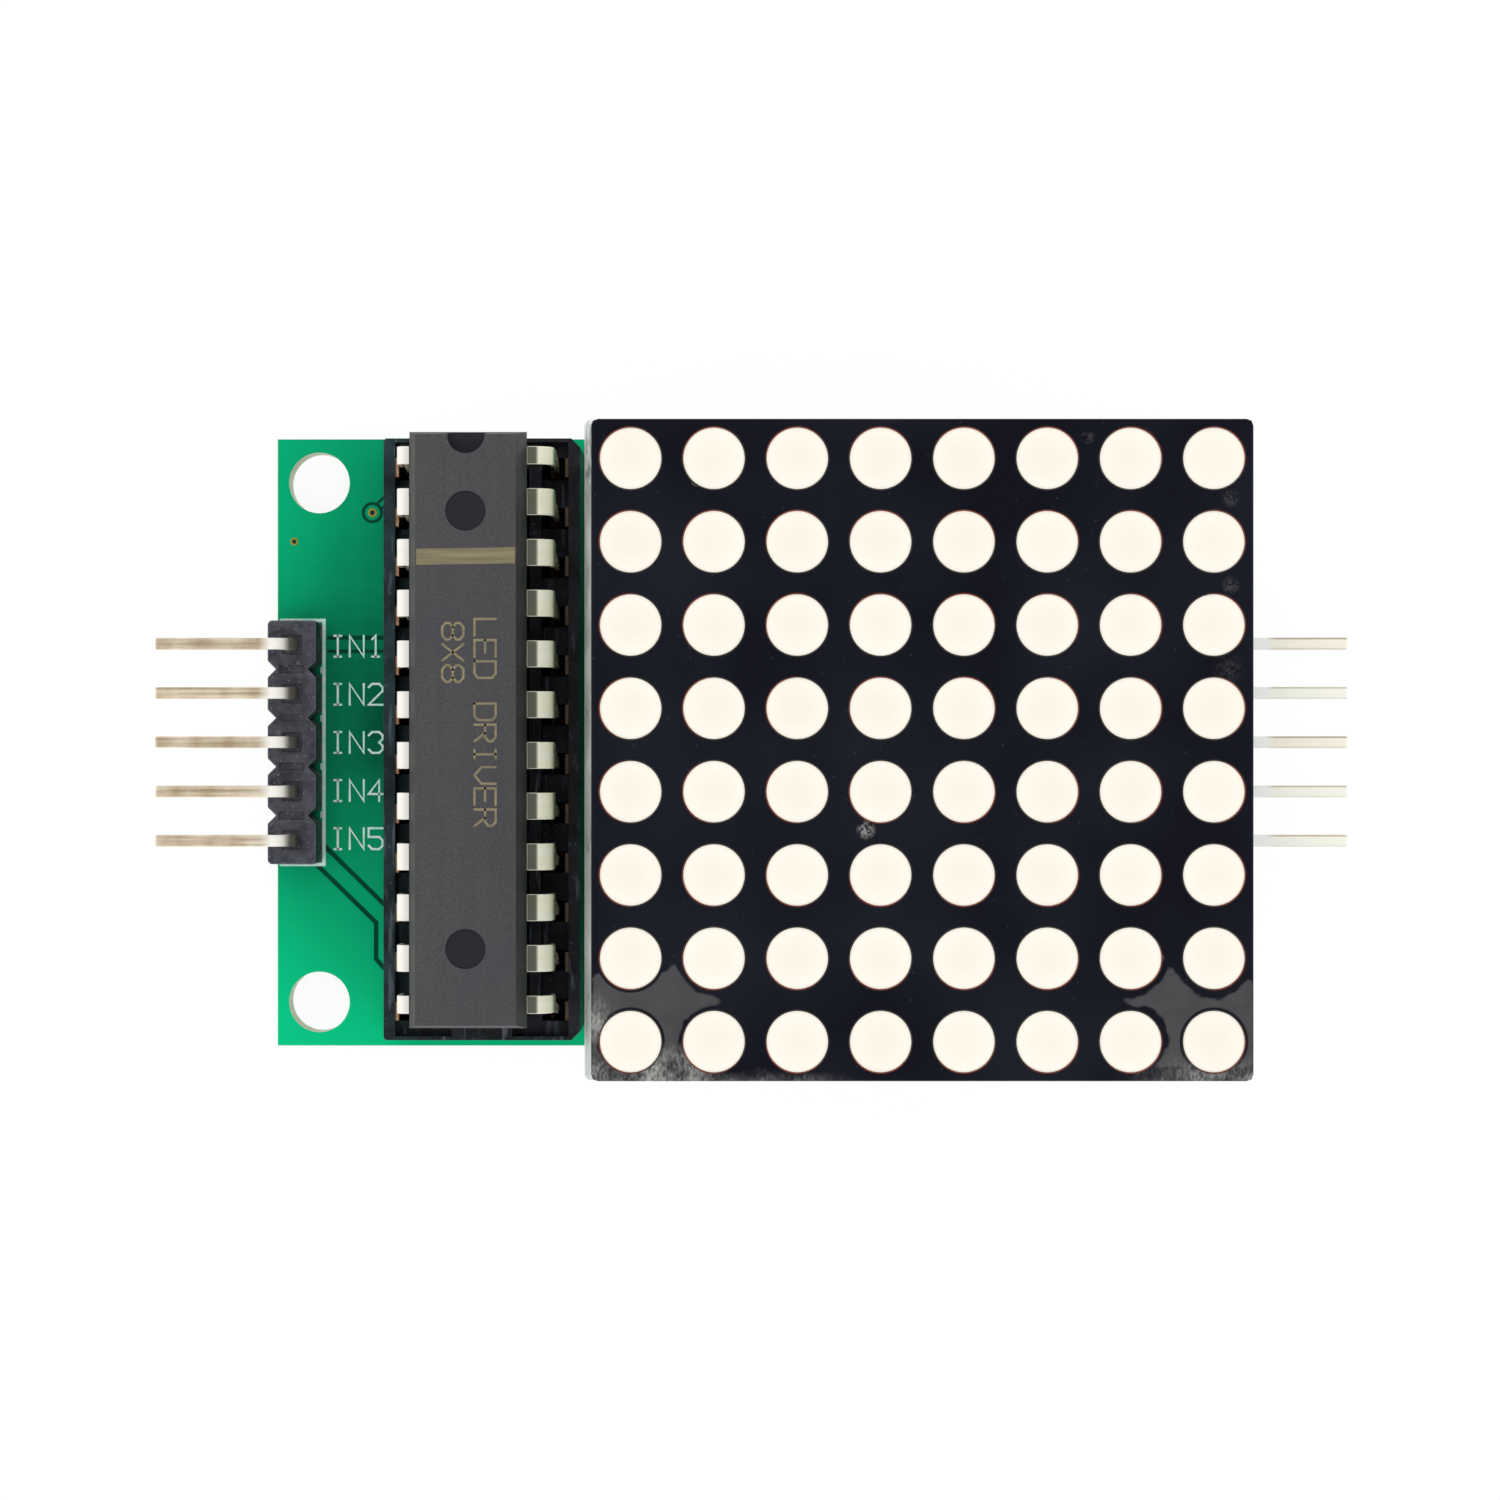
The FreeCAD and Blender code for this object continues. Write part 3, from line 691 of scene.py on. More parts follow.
def face_finish():
    """Glossy near-black face with dull lifted patches and a scuffed edge."""
    f = Finish("display_face")
    lifted, worn, gap = (f.axis(index, f.stored("marks")) for index in range(3))
    lifted = f.between(lifted + f.between(f.noise(2.5, 3.0), 0.2, 0.8, -0.08, 0.08), -0.06, 0.06)
    lifted = lifted * f.between(gap, lifted_gap - lifted_gap_soft, lifted_gap + lifted_gap_soft)
    base = f.mix(f.between(f.noise(0.12, 2.0), 0.35, 0.65), (18, 19, 28), (29, 31, 40))
    base = f.mix(f.specks(1.4, 0.06) * 0.35, base, (92, 96, 108))
    base = f.mix(lifted, base, f.mix(f.noise(1.2, 3.0), (66, 66, 69), (84, 83, 84)))
    haze = worn * f.between(f.noise(0.9, 3.0), 0.35, 0.65, 0.25, 1.0)
    scuffed = haze * f.between(f.noise(8.0, 3.0, (1.0, 0.45, 1.0)), 0.38, 0.62, 0.3, 1.0)
    speckle = f.between(f.noise(6.0, 3.0), 0.42, 0.58)
    for x, y, reach, strength in face_spots:
        scuffed = scuffed + speckle * f.between(f.away(x, y), 0.0, reach, strength, 0.0)
    scuffed = f.math("MINIMUM", scuffed, 1.0)
    f.color(f.mix(scuffed, base, (164, 165, 160)))
    f.roughness(scuffed * 0.5 + 0.07)
    f.bump(f.noise(0.5, 2.0) + scuffed, 0.01)
    return f


def dot_finish():
    """Cream filled resin, with a painted highlight towards each dot's edge."""
    f = Finish("dot_resin", Roughness=0.35)
    # Painted highlight towards the dot's edge
    edge = f.axis(0, f.stored("rim")) + f.drift(-0.2, 0.2, 0.35)
    f.color(f.mix(edge, (249, 241, 228), (254, 250, 236)))
    f.bump(f.noise(2.5, 3.0), 0.004)
    return f


def rim_finish():
    """Lacquer that shows inside each window, red-brown on the outer side, with painted shade on its
    inner side.
    """
    f = Finish("window_rim", Roughness=0.3)
    red = f.mix(f.noise(2.0, 2.0), (86, 34, 24), (136, 60, 34))
    # Painted shade on the inner side of each window
    f.color(f.mix(f.between(f.axis(0, f.stored("outer")), 0.1, 0.8), (44, 36, 30), red))
    return f


def solder_finish():
    """Bright solder, a little uneven."""
    f = Finish("solder", Metallic=1.0)
    f.color(f.mix(f.noise(1.5, 3.0), (172, 176, 182), (216, 218, 220)))
    f.roughness(f.drift(0.15, 0.4, 3.0, 3.0))
    f.bump(f.noise(2.5, 3.0), 0.02)
    return f


def toned_finish(name, low, high, detail, **values):
    """Surface of the small parts of a plated hole, between two tones."""
    f = Finish(name, **values)
    f.color(f.mix(f.noise(4.0, detail), low, high))
    return f


def plain_finish(name, low, high, roughness, per_mm=2.0, depth=0.01, **values):
    """Moulded or coated surface with a slight mottle and grain."""
    f = Finish(name, **values)
    f.color(f.mix(f.drift(0.0, 1.0, per_mm, 4.0), low, high))
    f.roughness(f.drift(roughness - 0.08, roughness + 0.08, per_mm * 2, 3.0))
    f.bump(f.noise(per_mm * 3, 3.0), depth)
    return f


# Middle of each colour band along the resistor, from the middle of its body, and its colour
resistor_bands = ((-1.9, (120, 62, 28)), (-1.05, (16, 14, 14)), (-0.2, (214, 96, 24)),
                  (1.9, (178, 138, 50)))
resistor_band_width = 0.5


def resistor_finish():
    """Tan lacquer with four colour bands round the body."""
    f = Finish("resistor_coat", Roughness=0.35)
    body = f.mix(f.noise(1.0, 3.0), (196, 164, 116), (218, 190, 144))
    along = f.x - middle("resistor_body").x
    for offset, color in resistor_bands:
        body = f.mix(abs(along - offset) < resistor_band_width / 2, body, color)
    f.color(body)
    f.bump(f.noise(3.0, 2.0), 0.01)
    return f


finishes = {
    "board": board_finish(),
    "track": copper_finish(),
    "print": print_finish(),
    "header": header_finish(),
    "input_pin": pin_finish("input_pin_metal", (200, 178, 146), (248, 234, 210), 0.75),
    "output_pin": glare_finish("output_pin_metal", (255, 255, 238), (204, 190, 162)),
    "output_pin_cream": glare_finish("output_pin_cream", (255, 242, 220), (176, 154, 122)),
    "socket": socket_finish(),
    "contact": contact_finish(),
    "chip": chip_finish(),
    "marking": marking_finish(),
    # Left leads are painted near white as a painted highlight; right leads carry a dark painted
    # reflection on their flat tops
    "left_lead": lead_finish("left_lead_tin", (255, 252, 242), (252, 248, 238), (255, 255, 250),
                             (226, 214, 190), 0.05),
    "right_lead": lead_finish("right_lead_tin", (108, 108, 94), (252, 246, 220), (255, 255, 236),
                              (170, 166, 140), 0.1),
    "shell": shell_finish(),
    "face": face_finish(),
    "dot": dot_finish(),
    "rim": rim_finish(),
    "solder": solder_finish(),
    "ring": toned_finish("bare_ring", (140, 150, 44), (186, 186, 80), 3.0, Roughness=0.3,
                         Metallic=0.6),
    # Painted shade standing in for the inside of a via's hole
    "dark": toned_finish("hole_painted_shade", (6, 16, 12), (16, 36, 26), 2.0, Roughness=0.7),
    "strip": plain_finish("strip_plastic", (22, 22, 26), (38, 38, 43), 0.45),
    "inner_board": plain_finish("inner_board", (196, 190, 160), (216, 210, 182), 0.5),
    "die": plain_finish("die_material", (150, 60, 40), (190, 90, 60), 0.3),
    "resin": plain_finish("potting_resin", (196, 192, 180), (222, 218, 206), 0.3, 0.8),
    "sleeve": plain_finish("can_sleeve", (16, 18, 26), (28, 30, 42), 0.28, 1.0, 0.005),
    "stripe": plain_finish("can_stripe", (168, 172, 176), (196, 198, 200), 0.35, 1.0, 0.005),
    "aluminium": plain_finish("can_aluminium", (196, 198, 202), (220, 221, 224), 0.25, 3.0, 0.005,
                              Metallic=1.0),
    "rubber": plain_finish("bung_rubber", (20, 20, 20), (32, 32, 32), 0.7),
    "ceramic": plain_finish("ceramic_coat", (196, 132, 40), (220, 158, 62), 0.3, 1.2),
    "resistor": resistor_finish(),
    "tinned": plain_finish("tinned_wire", (190, 190, 186), (222, 220, 212), 0.3, 3.0, 0.006,
                           Metallic=1.0),
}


# CAD nodes that stay

def dress(nodes, finish, rounding=0.0, segments=2):
    """Gives nodes their finish, and rounds their edges by a width in so many steps."""
    for node in nodes.split():
        piece = frame["nodes"][node]
        piece.data.materials.clear()
        piece.data.materials.append(finishes[finish].material)
        if rounding:
            bevel(piece, rounding, segments)


# Numbers of the output pins that look cream rather than white
cream_pins = (1, 3)


def dress_nodes():
    dress("circuit_board", "board")
    dress("input_header_body output_header_body", "header", 0.07)
    for number in range(1, header_pin_count + 1):
        shade = "_cream" if number in cream_pins else ""
        dress("input_header_pin_" + str(number), "input_pin", 0.07)
        dress("output_header_pin_" + str(number), "output_pin" + shade, 0.07)
    dress("chip_socket_body", "socket", 0.06)
    dress("chip_body", "chip", 0.07)
    dress("chip_socket_contacts_left chip_socket_contacts_right", "contact", 0.03, 1)
    dress("display_socket_body_lower display_socket_body_upper", "strip", 0.08)
    dress("display_socket_contacts_lower display_socket_contacts_upper", "contact", 0.03, 1)
    dress("matrix_pins_lower matrix_pins_upper", "tinned", 0.05, 1)
    dress("matrix_housing", "shell", 0.12)
    dress("matrix_board", "inner_board", 0.05, 1)
    dress("matrix_dies", "die", 0.03, 1)
    dress("matrix_potting", "resin", 0.1)
    dress("electrolytic_bung", "rubber", 0.05)
    dress("electrolytic_leads ceramic_leads resistor_leads", "tinned", 0.06)


# Chip leads

lead_thickness = 0.25
lead_shoulder_half = 0.67
lead_leg_half = 0.23
lead_bend_share = 0.68
lead_bend_steps = 10
lead_taper = 0.45
lead_tip_point = 0.35
lead_seat = chip_low.z - 0.4
# How far the chip stands towards its notched end
chip_end_offset = 0.45


def lead_stations(side):
    """Outer face of a lead as x, z and its outward normal, from body to tip."""
    box_low, box_high = span("chip_leads_" + ("left" if side < 0 else "right"))
    root = chip_low.x if side < 0 else chip_high.x
    outer = box_low.x if side < 0 else box_high.x
    top = box_high.z
    radius = lead_bend_share * abs(outer - root)
    stations = [(root, top, 0.0, 1.0)]
    for step in range(lead_bend_steps + 1):
        angle = pi / 2 * step / lead_bend_steps
        x = outer - side * radius * (1 - sin(angle))
        stations.append((x, top - radius * (1 - cos(angle)), side * sin(angle), cos(angle)))
    for z in (lead_seat + lead_taper, lead_seat, box_low.z + lead_tip_point, box_low.z):
        stations.append((outer, z, side, 0.0))
    return stations


def lead_rings(side, y, index):
    """Closed sections of one lead along its length."""
    stations = lead_stations(side)
    low_z = stations[-1][1]
    rings = []
    for step, (x, z, nx, nz) in enumerate(stations):
        low = high = lead_shoulder_half
        if index == 0:
            low = lead_leg_half
        if index == socket_row_count - 1:
            high = lead_leg_half
        if step >= len(stations) - 3:
            low = high = lead_leg_half
        if step == len(stations) - 1:
            low = high = lead_leg_half / 2
        lean = chip_end_offset * max(0.0, (lead_seat - z) / (lead_seat - low_z))
        inner_x = x - nx * lead_thickness
        inner_z = z - nz * lead_thickness
        a, b = y - lean - low, y - lean + high
        ring = [(x, a, z), (x, b, z), (inner_x, b, inner_z), (inner_x, a, inner_z)]
        rings.append(ring if side > 0 else ring[::-1])
    return rings


def chip_leads():
    for side, word in ((-1, "left"), (1, "right")):
        shape = Shape()
        for index, offset in enumerate(grid_offsets(socket_row_count, pitch)):
            shape.rings(lead_rings(side, socket_mid.y + chip_end_offset + offset, index))
        piece = shape.make("chip_lead_row_" + word, [word + "_lead"], "lead_metal", 40)
        bevel(piece, 0.03, 2, 50)
        replace(piece, "chip_leads_" + word)


# Letters as strokes, each a run of points on a grid four wide and six high

GLYPHS = {
    "1": ("1,5 2,6 2,0", "1,0 3,0"),
    "2": ("0,5 1,6 3,6 4,5 4,4 0,0 4,0",),
    "3": ("0,5 1,6 3,6 4,5 4,4 3,3 4,2 4,1 3,0 1,0 0,1",),
    "4": ("3,0 3,6 0,2 4,2",),
    "5": ("4,6 0,6 0,3.5 3,3.5 4,2.5 4,1 3,0 1,0 0,1",),
    "8": ("1,3 0,4 0,5 1,6 3,6 4,5 4,4 3,3 1,3", "1,3 0,2 0,1 1,0 3,0 4,1 4,2 3,3"),
    "D": ("0,0 0,6 3,6 4,5 4,1 3,0 0,0",),
    "E": ("4,6 0,6 0,0 4,0", "0,3 3,3"),
    "I": ("2,0 2,6", "1,0 3,0", "1,6 3,6"),
    "L": ("0,6 0,0 4,0",),
    "N": ("0,0 0,6 4,0 4,6",),
    "R": ("0,0 0,6 3,6 4,5 4,4 3,3 0,3", "2,3 4,0"),
    "V": ("0,6 0,2 2,0 4,2 4,6",),
    "X": ("0,0 4,6", "0,6 4,0"),
    " ": (),
}
GLYPH_WIDE = 4
GLYPH_HIGH = 6


def write(shape, text, x, y, size, advance, line, low, high, downward=False):
    """Strokes of a text that starts at x, y; downward text reads from top to bottom."""
    for place, letter in enumerate(text):
        for stroke in GLYPHS[letter]:
            points = []
            for pair in stroke.split():
                u, v = pair.split(",")
                along = place * advance + float(u) / GLYPH_WIDE * size[0]
                up = float(v) / GLYPH_HIGH * size[1]
                points.append((x + up, y - along) if downward else (x + along, y + up))
            shape.ribbon(points, line, low, high)


# Board print

print_height = 0.03
print_line = 0.18
letter_size = (0.74, 1.1)
letter_advance = 1.0
letter_line = 0.115
label_x = -22.2
silk_gap = 0.09
# Short marks beside a header's notches: how far out, half their length and their line
tooth_out = 0.12
tooth_half = 0.12
tooth_line = 0.126


def header_print(shape, side, low, high):
    """Outline round the board side of a header with a tooth at every notch."""
    body_low, body_high = span(("input" if side < 0 else "output") + "_header_body")
    y0 = body_low.y - silk_gap
    y1 = body_high.y + silk_gap
    inner = body_high.x + silk_gap if side < 0 else body_low.x - silk_gap
    end = side * (board_high.x - print_line)
    shape.ribbon([(end, y1), (inner, y1), (inner, y0), (end, y0)], print_line, low, high)
    tooth = inner + side * tooth_out
    for y in grid_offsets(header_pin_count - 1, pitch):
        shape.ribbon([(tooth, y - tooth_half), (tooth, y + tooth_half)], tooth_line, low, high)


def board_print():
    shape = Shape()
    low, high = board_top, board_top + print_height
    header_print(shape, -1, low, high)
    header_print(shape, 1, low, high)
    for number, y in enumerate(reversed(grid_offsets(header_pin_count, pitch)), 1):
        write(shape, "IN" + str(number), label_x, y - letter_size[1] / 2, letter_size,
              letter_advance, letter_line, low, high)
    shape.make("board_print", ["print"], "board_laminate", 0)


# Copper tracks under the resist, as routes and widths

track_height = 0.012
top_tracks = (
    ([(-23.15, -6.25), (-19.81, -9.51), (-19.81, -11.43), (-19.0, -12.35)], 0.24),
    ([(-22.6, -5.4), (-19.29, -8.64), (-18.9, -9.0)], 0.24),
    ([(-19.75, 12.6), (-18.9, 13.45)], 0.14),
    ([(-19.5, 12.35), (-18.9, 12.95)], 0.14),
    ([(-22.3, 5.53), (-19.2, 5.53)], 0.22),
    ([(-22.3, 4.81), (-19.2, 4.81)], 0.18),
)
under_width = 0.3
# Room between a track's middle and the pads that it passes, and the longest slant at its end
under_clear = 1.25
under_corner = 1.2
# Less than this from a pad's middle is on the pad
same_place = 0.05
# How far a track from the input header runs straight on before it slants
under_lead = 1.6
# From the outer side of a row of socket contacts to the middle of its tails
contact_inset = 0.09


def tracks():
    shape = Shape()
    for path, width in top_tracks:
        shape.ribbon(path, width, board_top, board_top + track_height)
    for path in under_paths():
        shape.ribbon(path, under_width, -track_height, 0.0)
    shape.make("board_tracks", ["track"], "board_laminate", 0)


def contact_x(side):
    """Middle of the tails of one row of socket contacts."""
    low, high = span("chip_socket_contacts_" + ("left" if side < 0 else "right"))
    return low.x + contact_inset if side < 0 else high.x - contact_inset


def under_paths():
    """Routes under the board that run clear of every pad but their own two."""
    places = joint_places()
    right = contact_x(1)
    paths = []
    for side, word in ((-1, "lower"), (1, "upper")):
        strip_y = middle("display_socket_body_" + word).y
        for place, dx in enumerate(grid_offsets(strip_pin_count, pitch)):
            end = (display_mid.x + dx, strip_y)
            row = socket_row_count / 2 - 1 - place
            start = (right, socket_mid.y + side * (row + 0.5) * pitch)
            corner = min(under_corner, abs(end[1] - start[1]))
            bends = [(end[0] - corner, start[1]), (end[0], start[1] + side * corner)]
            if row > 0 and side * (end[1] - start[1]) > corner:
                paths.append([start, *bends, end])
    left = contact_x(-1)
    head = middle("input_header_body").x
    for y in grid_offsets(header_pin_count, pitch):
        reach = socket_mid.y + pitch / 2 + y
        paths.append([(head, y), (head + under_lead, y), (left - under_lead, reach), (left, reach)])
    return [path for path in paths if runs_clear(path, places)]


def runs_clear(path, places):
    """Whether a route keeps away from the pads that aren't at its ends."""
    for x, y, _ in places:
        if min(hypot(x - a, y - b) for a, b in (path[0], path[-1])) < same_place:
            continue
        if min(edge_distance(x, y, *run) for run in zip(path, path[1:])) < under_clear:
            return False
    return True


# Plated holes seen on the top: middle, ring radius, hole radius and the dark line's radius

via_places = ((-20.005, 12.13, 0.24, 0.13, 0.565), (-24.13, 10.6, 0.21, 0.12, 0.0))
via_line = 0.16
via_height = 0.02
via_sides = 24
via_gap_sides = 32


def vias():
    rings, holes, gaps = Shape(), Shape(), Shape()
    for x, y, radius, hole, gap in via_places:
        rings.disc_ring(x, y, hole, radius, board_top, board_top + via_height, via_sides)
        # Dark disc painted as the shade inside each via's hole
        holes.rings([circle(x, y, board_top + rise, hole, via_sides) for rise in (0.0, via_height / 2)])
        if gap:
            gaps.disc_ring(x, y, gap - via_line, gap, board_top, board_top + via_height / 2,
                           via_gap_sides)
    rings.make("via_rings", ["ring"], "board_laminate")
    holes.make("via_holes", ["dark"], "board_laminate")
    gaps.make("via_gaps", ["track"], "board_laminate")


# Solder under the board

pad_radius = 0.85
pad_rim = 0.08
pad_thickness = 0.04
pad_hole_share = 0.9
fillet_height = 0.95
fillet_steps = 5
# Spread of the fillets' height and width, their tip's share of the tail and their curve's power
fillet_tall = (0.85, 1.1)
fillet_wide = (0.92, 1.0)
fillet_tip = 1.25
fillet_curve = 2.2
joint_sides = 20
# Half widths of the header's tails and of all the others
header_tail_half = 0.32
tail_half = 0.25


def joint_places():
    """Centre and half-width of every tail that passes through the board."""
    places = []
    for side, use, word in ((-1, "input", "lower"), (1, "output", "upper")):
        x = middle(use + "_header_body").x
        places += [(x, y, header_tail_half) for y in grid_offsets(header_pin_count, pitch)]
        x = contact_x(side)
        places += [(x, socket_mid.y + dy, tail_half) for dy in grid_offsets(socket_row_count, pitch)]
        y = middle("display_socket_body_" + word).y
        places += [(display_mid.x + dx, y, tail_half) for dx in grid_offsets(strip_pin_count, pitch)]
    for part in ("electrolytic", "ceramic", "resistor"):
        low, high = span(part + "_leads")
        for x in (low.x + tail_half, high.x - tail_half):
            places.append((x, (low.y + high.y) / 2, tail_half))
    return places


def solder_joints():
    pads = Shape()
    joints = Shape()
    draw = random.Random(5)
    for x, y, half in joint_places():
        hole = half * pad_hole_share
        pads.disc_ring(x, y, hole, pad_radius + pad_rim, -pad_thickness, 0.0, joint_sides)
        tall = fillet_height * draw.uniform(*fillet_tall)
        wide = pad_radius * draw.uniform(*fillet_wide)
        tip = half * fillet_tip
        rings = []
        for step in range(fillet_steps + 1):
            share = step / fillet_steps
            radius = tip + (wide - tip) * (1 - share) ** fillet_curve
            rings.append(circle(x, y, -tall * share, radius, joint_sides)[::-1])
        joints.rings(rings)
    pads.make("solder_pads", ["ring"], "board_laminate")
    joints.make("solder_joints", ["solder"], "pin_metal", 40)


# Chip marking, generic words where the chip has its lettering

marking_height = 0.008
marking_sunk = 0.002
band_left = -2.44
band_right = 2.46
band_y = 9.22
band_half = 0.4
band_slope = 0.0155
word_size = (0.82, 1.05)
word_advance = 1.05
word_line = 0.12
# Each line of the marking: its words, its place from the chip's middle and where it starts
words = (("LED DRIVER", 0.45, 6.1), ("8X8", -1.15, 5.9))


def chip_marking():
    shape = Shape()
    low, high = chip_top - marking_sunk, chip_top + marking_height
    corners = []
    for x, half in ((band_left, -band_half), (band_right, -band_half), (band_right, band_half),
                    (band_left, band_half)):
        rise = band_slope * (x - (band_left + band_right) / 2)
        corners.append((chip_mid.x + x, band_y + half + rise))
    shape.rings([[(x, y, z) for x, y in corners] for z in (low, high)])
    for text, x, y in words:
        write(shape, text, chip_mid.x + x, y, word_size, word_advance, word_line, low, high, True)
    shape.make("chip_marking", ["marking"], "chip_plastic", 0)


# Display face

dot_count = 8
dot_pitch = 4.0
dot_radius = 1.48
window_radius = 1.55
window_sides = 48
face_half = (plate_high.x - plate_low.x) / 2
face_corner = 0.3
face_edge_drop = 0.03
face_edge_width = 0.04
face_rings = (0.0, 0.07, 0.15, 0.35, 0.65, 1.0)

# Scuffed places from the middle of the face: x, y, reach each way, strength
scuffs = (
    (-12.6, -15.9, 3.4, 2.0, 1.5),
    (-15.6, -13.0, 1.0, 1.4, 1.2),
    (-15.6, -15.4, 1.4, 1.2, 0.8),
    (-7.5, -16.0, 5.0, 0.6, 0.6),
    (13.4, -15.9, 4.2, 1.5, 0.65),
    (15.9, -15.9, 0.7, 0.7, 1.2),
)

# Outlines of the two lifted patches, from the middle of the face
lifted_outlines = (
    ((-15.8, -10.85), (-15.2, -10.6), (-14.2, -11.2), (-13.0, -10.9), (-12.3, -10.6), (-11.9, -10.3),
     (-11.5, -10.9), (-10.9, -11.6), (-9.9, -11.9), (-9.5, -12.1), (-10.6, -12.4), (-11.5, -13.0),
     (-11.8, -14.2), (-11.7, -14.9), (-12.5, -15.0), (-15.8, -14.6)),
    ((9.6, -12.0), (10.6, -11.8), (11.4, -11.2), (11.9, -10.4), (12.4, -11.0), (13.2, -11.8),
     (14.3, -12.0), (15.1, -11.6), (15.6, -11.0), (15.9, -11.1), (15.9, -15.2), (11.2, -15.2),
     (11.9, -14.0), (11.6, -13.0), (11.0, -12.3), (10.0, -12.3)),
)
# Distance that counts as far from a patch
lifted_far = -2.0


def inside_outline(x, y, outline):
    inside = False
    for (ax, ay), (bx, by) in edges(outline):
        if (ay > y) != (by > y) and x < ax + (y - ay) / (by - ay) * (bx - ax):
            inside = not inside
    return inside


def lifted_at(x, y):
    """Distance to the nearest edge of a lifted patch, above zero inside one."""
    nearest = lifted_far
    for outline in lifted_outlines:
        away = min(edge_distance(x, y, *edge) for edge in edges(outline))
        nearest = max(nearest, away if inside_outline(x, y, outline) else -away)
    return nearest


def worn_at(x, y):
    """Scuffing of the face round a few places on its edge."""
    worn = 0.0
    for scuff_x, scuff_y, reach_x, reach_y, strength in scuffs:
        away = hypot((x - scuff_x) / reach_x, (y - scuff_y) / reach_y)
        worn = max(worn, strength * max(0.0, 1 - away))
    return min(1.0, worn)


def on_side(value):
    """Whether a coordinate from the middle lies on an outer side of the face."""
    return abs(abs(value) - face_half) < tiny


def face_border(x, y, inset):
    """Point of the face's rounded border nearest to a point on its square."""
    core = face_half - face_corner
    if abs(x) > core and abs(y) > core:
        cx = core if x > 0 else -core
        cy = core if y > 0 else -core
        away = Vector((x - cx, y - cy)).normalized() * (face_corner - inset)
        return cx + away.x, cy + away.y
    return tuple(v - (inset if v > 0 else -inset) if on_side(v) else v for v in (x, y))


def cell_side(index, middle_place):
    """Low and high side of a dot's cell along one axis."""
    low = -face_half if index == 0 else middle_place - dot_pitch / 2
    high = face_half if index == dot_count - 1 else middle_place + dot_pitch / 2
    return low, high


def cell_border(column, row):
    """Points round one dot's square cell, evenly spaced on each side."""
    offsets = grid_offsets(dot_count, dot_pitch)
    cx, cy = offsets[column], offsets[row]
    x0, x1 = cell_side(column, cx)
    y0, y1 = cell_side(row, cy)
    per_side = window_sides // 4
    points = []
    for (ax, ay), (bx, by) in edges([(x1, y0), (x1, y1), (x0, y1), (x0, y0)]):
        for i in range(per_side):
            share = i / per_side
            points.append((ax + (bx - ax) * share, ay + (by - ay) * share))
    return cx, cy, points


# Burrs of the windows by column and row from the lower left: angle, width, height
window_nicks = {
    (1, 7): ((4.05, 0.14, 0.14), (0.75, 0.1, 0.07)),
    (1, 6): ((0.6, 0.1, 0.08),),
    (4, 3): ((2.3, 0.14, 0.04),),
    (6, 1): ((0.0, 0.1, 0.11),),
    (2, 4): ((5.2, 0.15, 0.04),),
    (5, 6): ((1.2, 0.13, -0.04),),
    (7, 5): ((3.6, 0.14, 0.04),),
    (3, 1): ((1.9, 0.14, -0.04),),
}


def nicked_radius(angle, nicks):
    """Window radius with a few small chips in its rim."""
    radius = window_radius
    for at, wide, deep in nicks:
        away = abs((angle - at + pi) % (2 * pi) - pi)
        radius += deep * max(0.0, 1 - away / wide)
    return radius


def display_face():
    """Dark plate with a round window at every dot; its marks are stored per point."""
    points, faces, marks = [], [], []
    index = {}

    def point(x, y, z, lifted=-1.0, worn=0.0, gap=0.0):
        key = (round(x, 4), round(y, 4), round(z, 4))
        if key not in index:
            index[key] = len(points)
            points.append((display_mid.x + x, display_mid.y + y, z))
            marks.append((lifted, worn, gap))
        return index[key]

    def spoke(cx, cy, bx, by, nicks):
        """Points of the top from a window to its cell's border, and those of the underside."""
        angle = atan2(by - cy, bx - cx)
        radius = nicked_radius(angle, nicks)
        wx, wy = cx + radius * cos(angle), cy + radius * sin(angle)
        outside = on_side(bx) or on_side(by)
        ex, ey = face_border(bx, by, face_edge_width if outside else 0.0)
        line = []
        for share in face_rings:
            x, y = wx + (ex - wx) * share, wy + (ey - wy) * share
            gap = hypot(x - cx, y - cy) - radius
            line.append(point(x, y, plate_top, lifted_at(x, y), worn_at(x, y), gap))
        low = [point(wx, wy, plate_bottom)]
        if outside:
            ox, oy = face_border(bx, by, 0.0)
            line.append(point(ox, oy, plate_top - face_edge_drop, -1.0, worn_at(ox, oy)))
            low.append(point(ox, oy, plate_bottom, -1.0, worn_at(ox, oy)))
        else:
            low.append(point(bx, by, plate_bottom))
        return (bx, by), line, low

    for column in range(dot_count):
        for row in range(dot_count):
            cx, cy, border = cell_border(column, row)
            nicks = window_nicks.get((column, row), ())
            spokes = [spoke(cx, cy, *place, nicks) for place in border]
            for (start, line, low), (end, next_line, next_low) in edges(spokes):
                for a in range(len(face_rings) - 1):
                    faces.append((line[a], line[a + 1], next_line[a + 1], next_line[a]))
                faces.append((low[0], line[0], next_line[0], next_low[0]))
                faces.append((low[1], low[0], next_low[0], next_low[1]))
                if any(on_side(a) and abs(a - b) < tiny for a, b in zip(start, end)):
                    faces.append((line[-2], line[-1], next_line[-1], next_line[-2]))
                    faces.append((line[-1], low[1], next_low[1], next_line[-1]))
    shape = Shape()
    shape.add(points, [face for face in faces if len(set(face)) > 2])
    piece = shape.make("display_face_plate", ["face"], "display_mask", 35)
    store_marks(piece, "marks", marks)
    return piece


def store_marks(piece, name, values):
    layer = piece.data.attributes.new(name, "FLOAT_VECTOR", "POINT")
    layer.data.foreach_set("vector", [part for value in values for part in value])


dot_recess = 0.07
dot_dome = 0.03
dot_shares = (1.0, 0.93, 0.8, 0.55, 0.25)
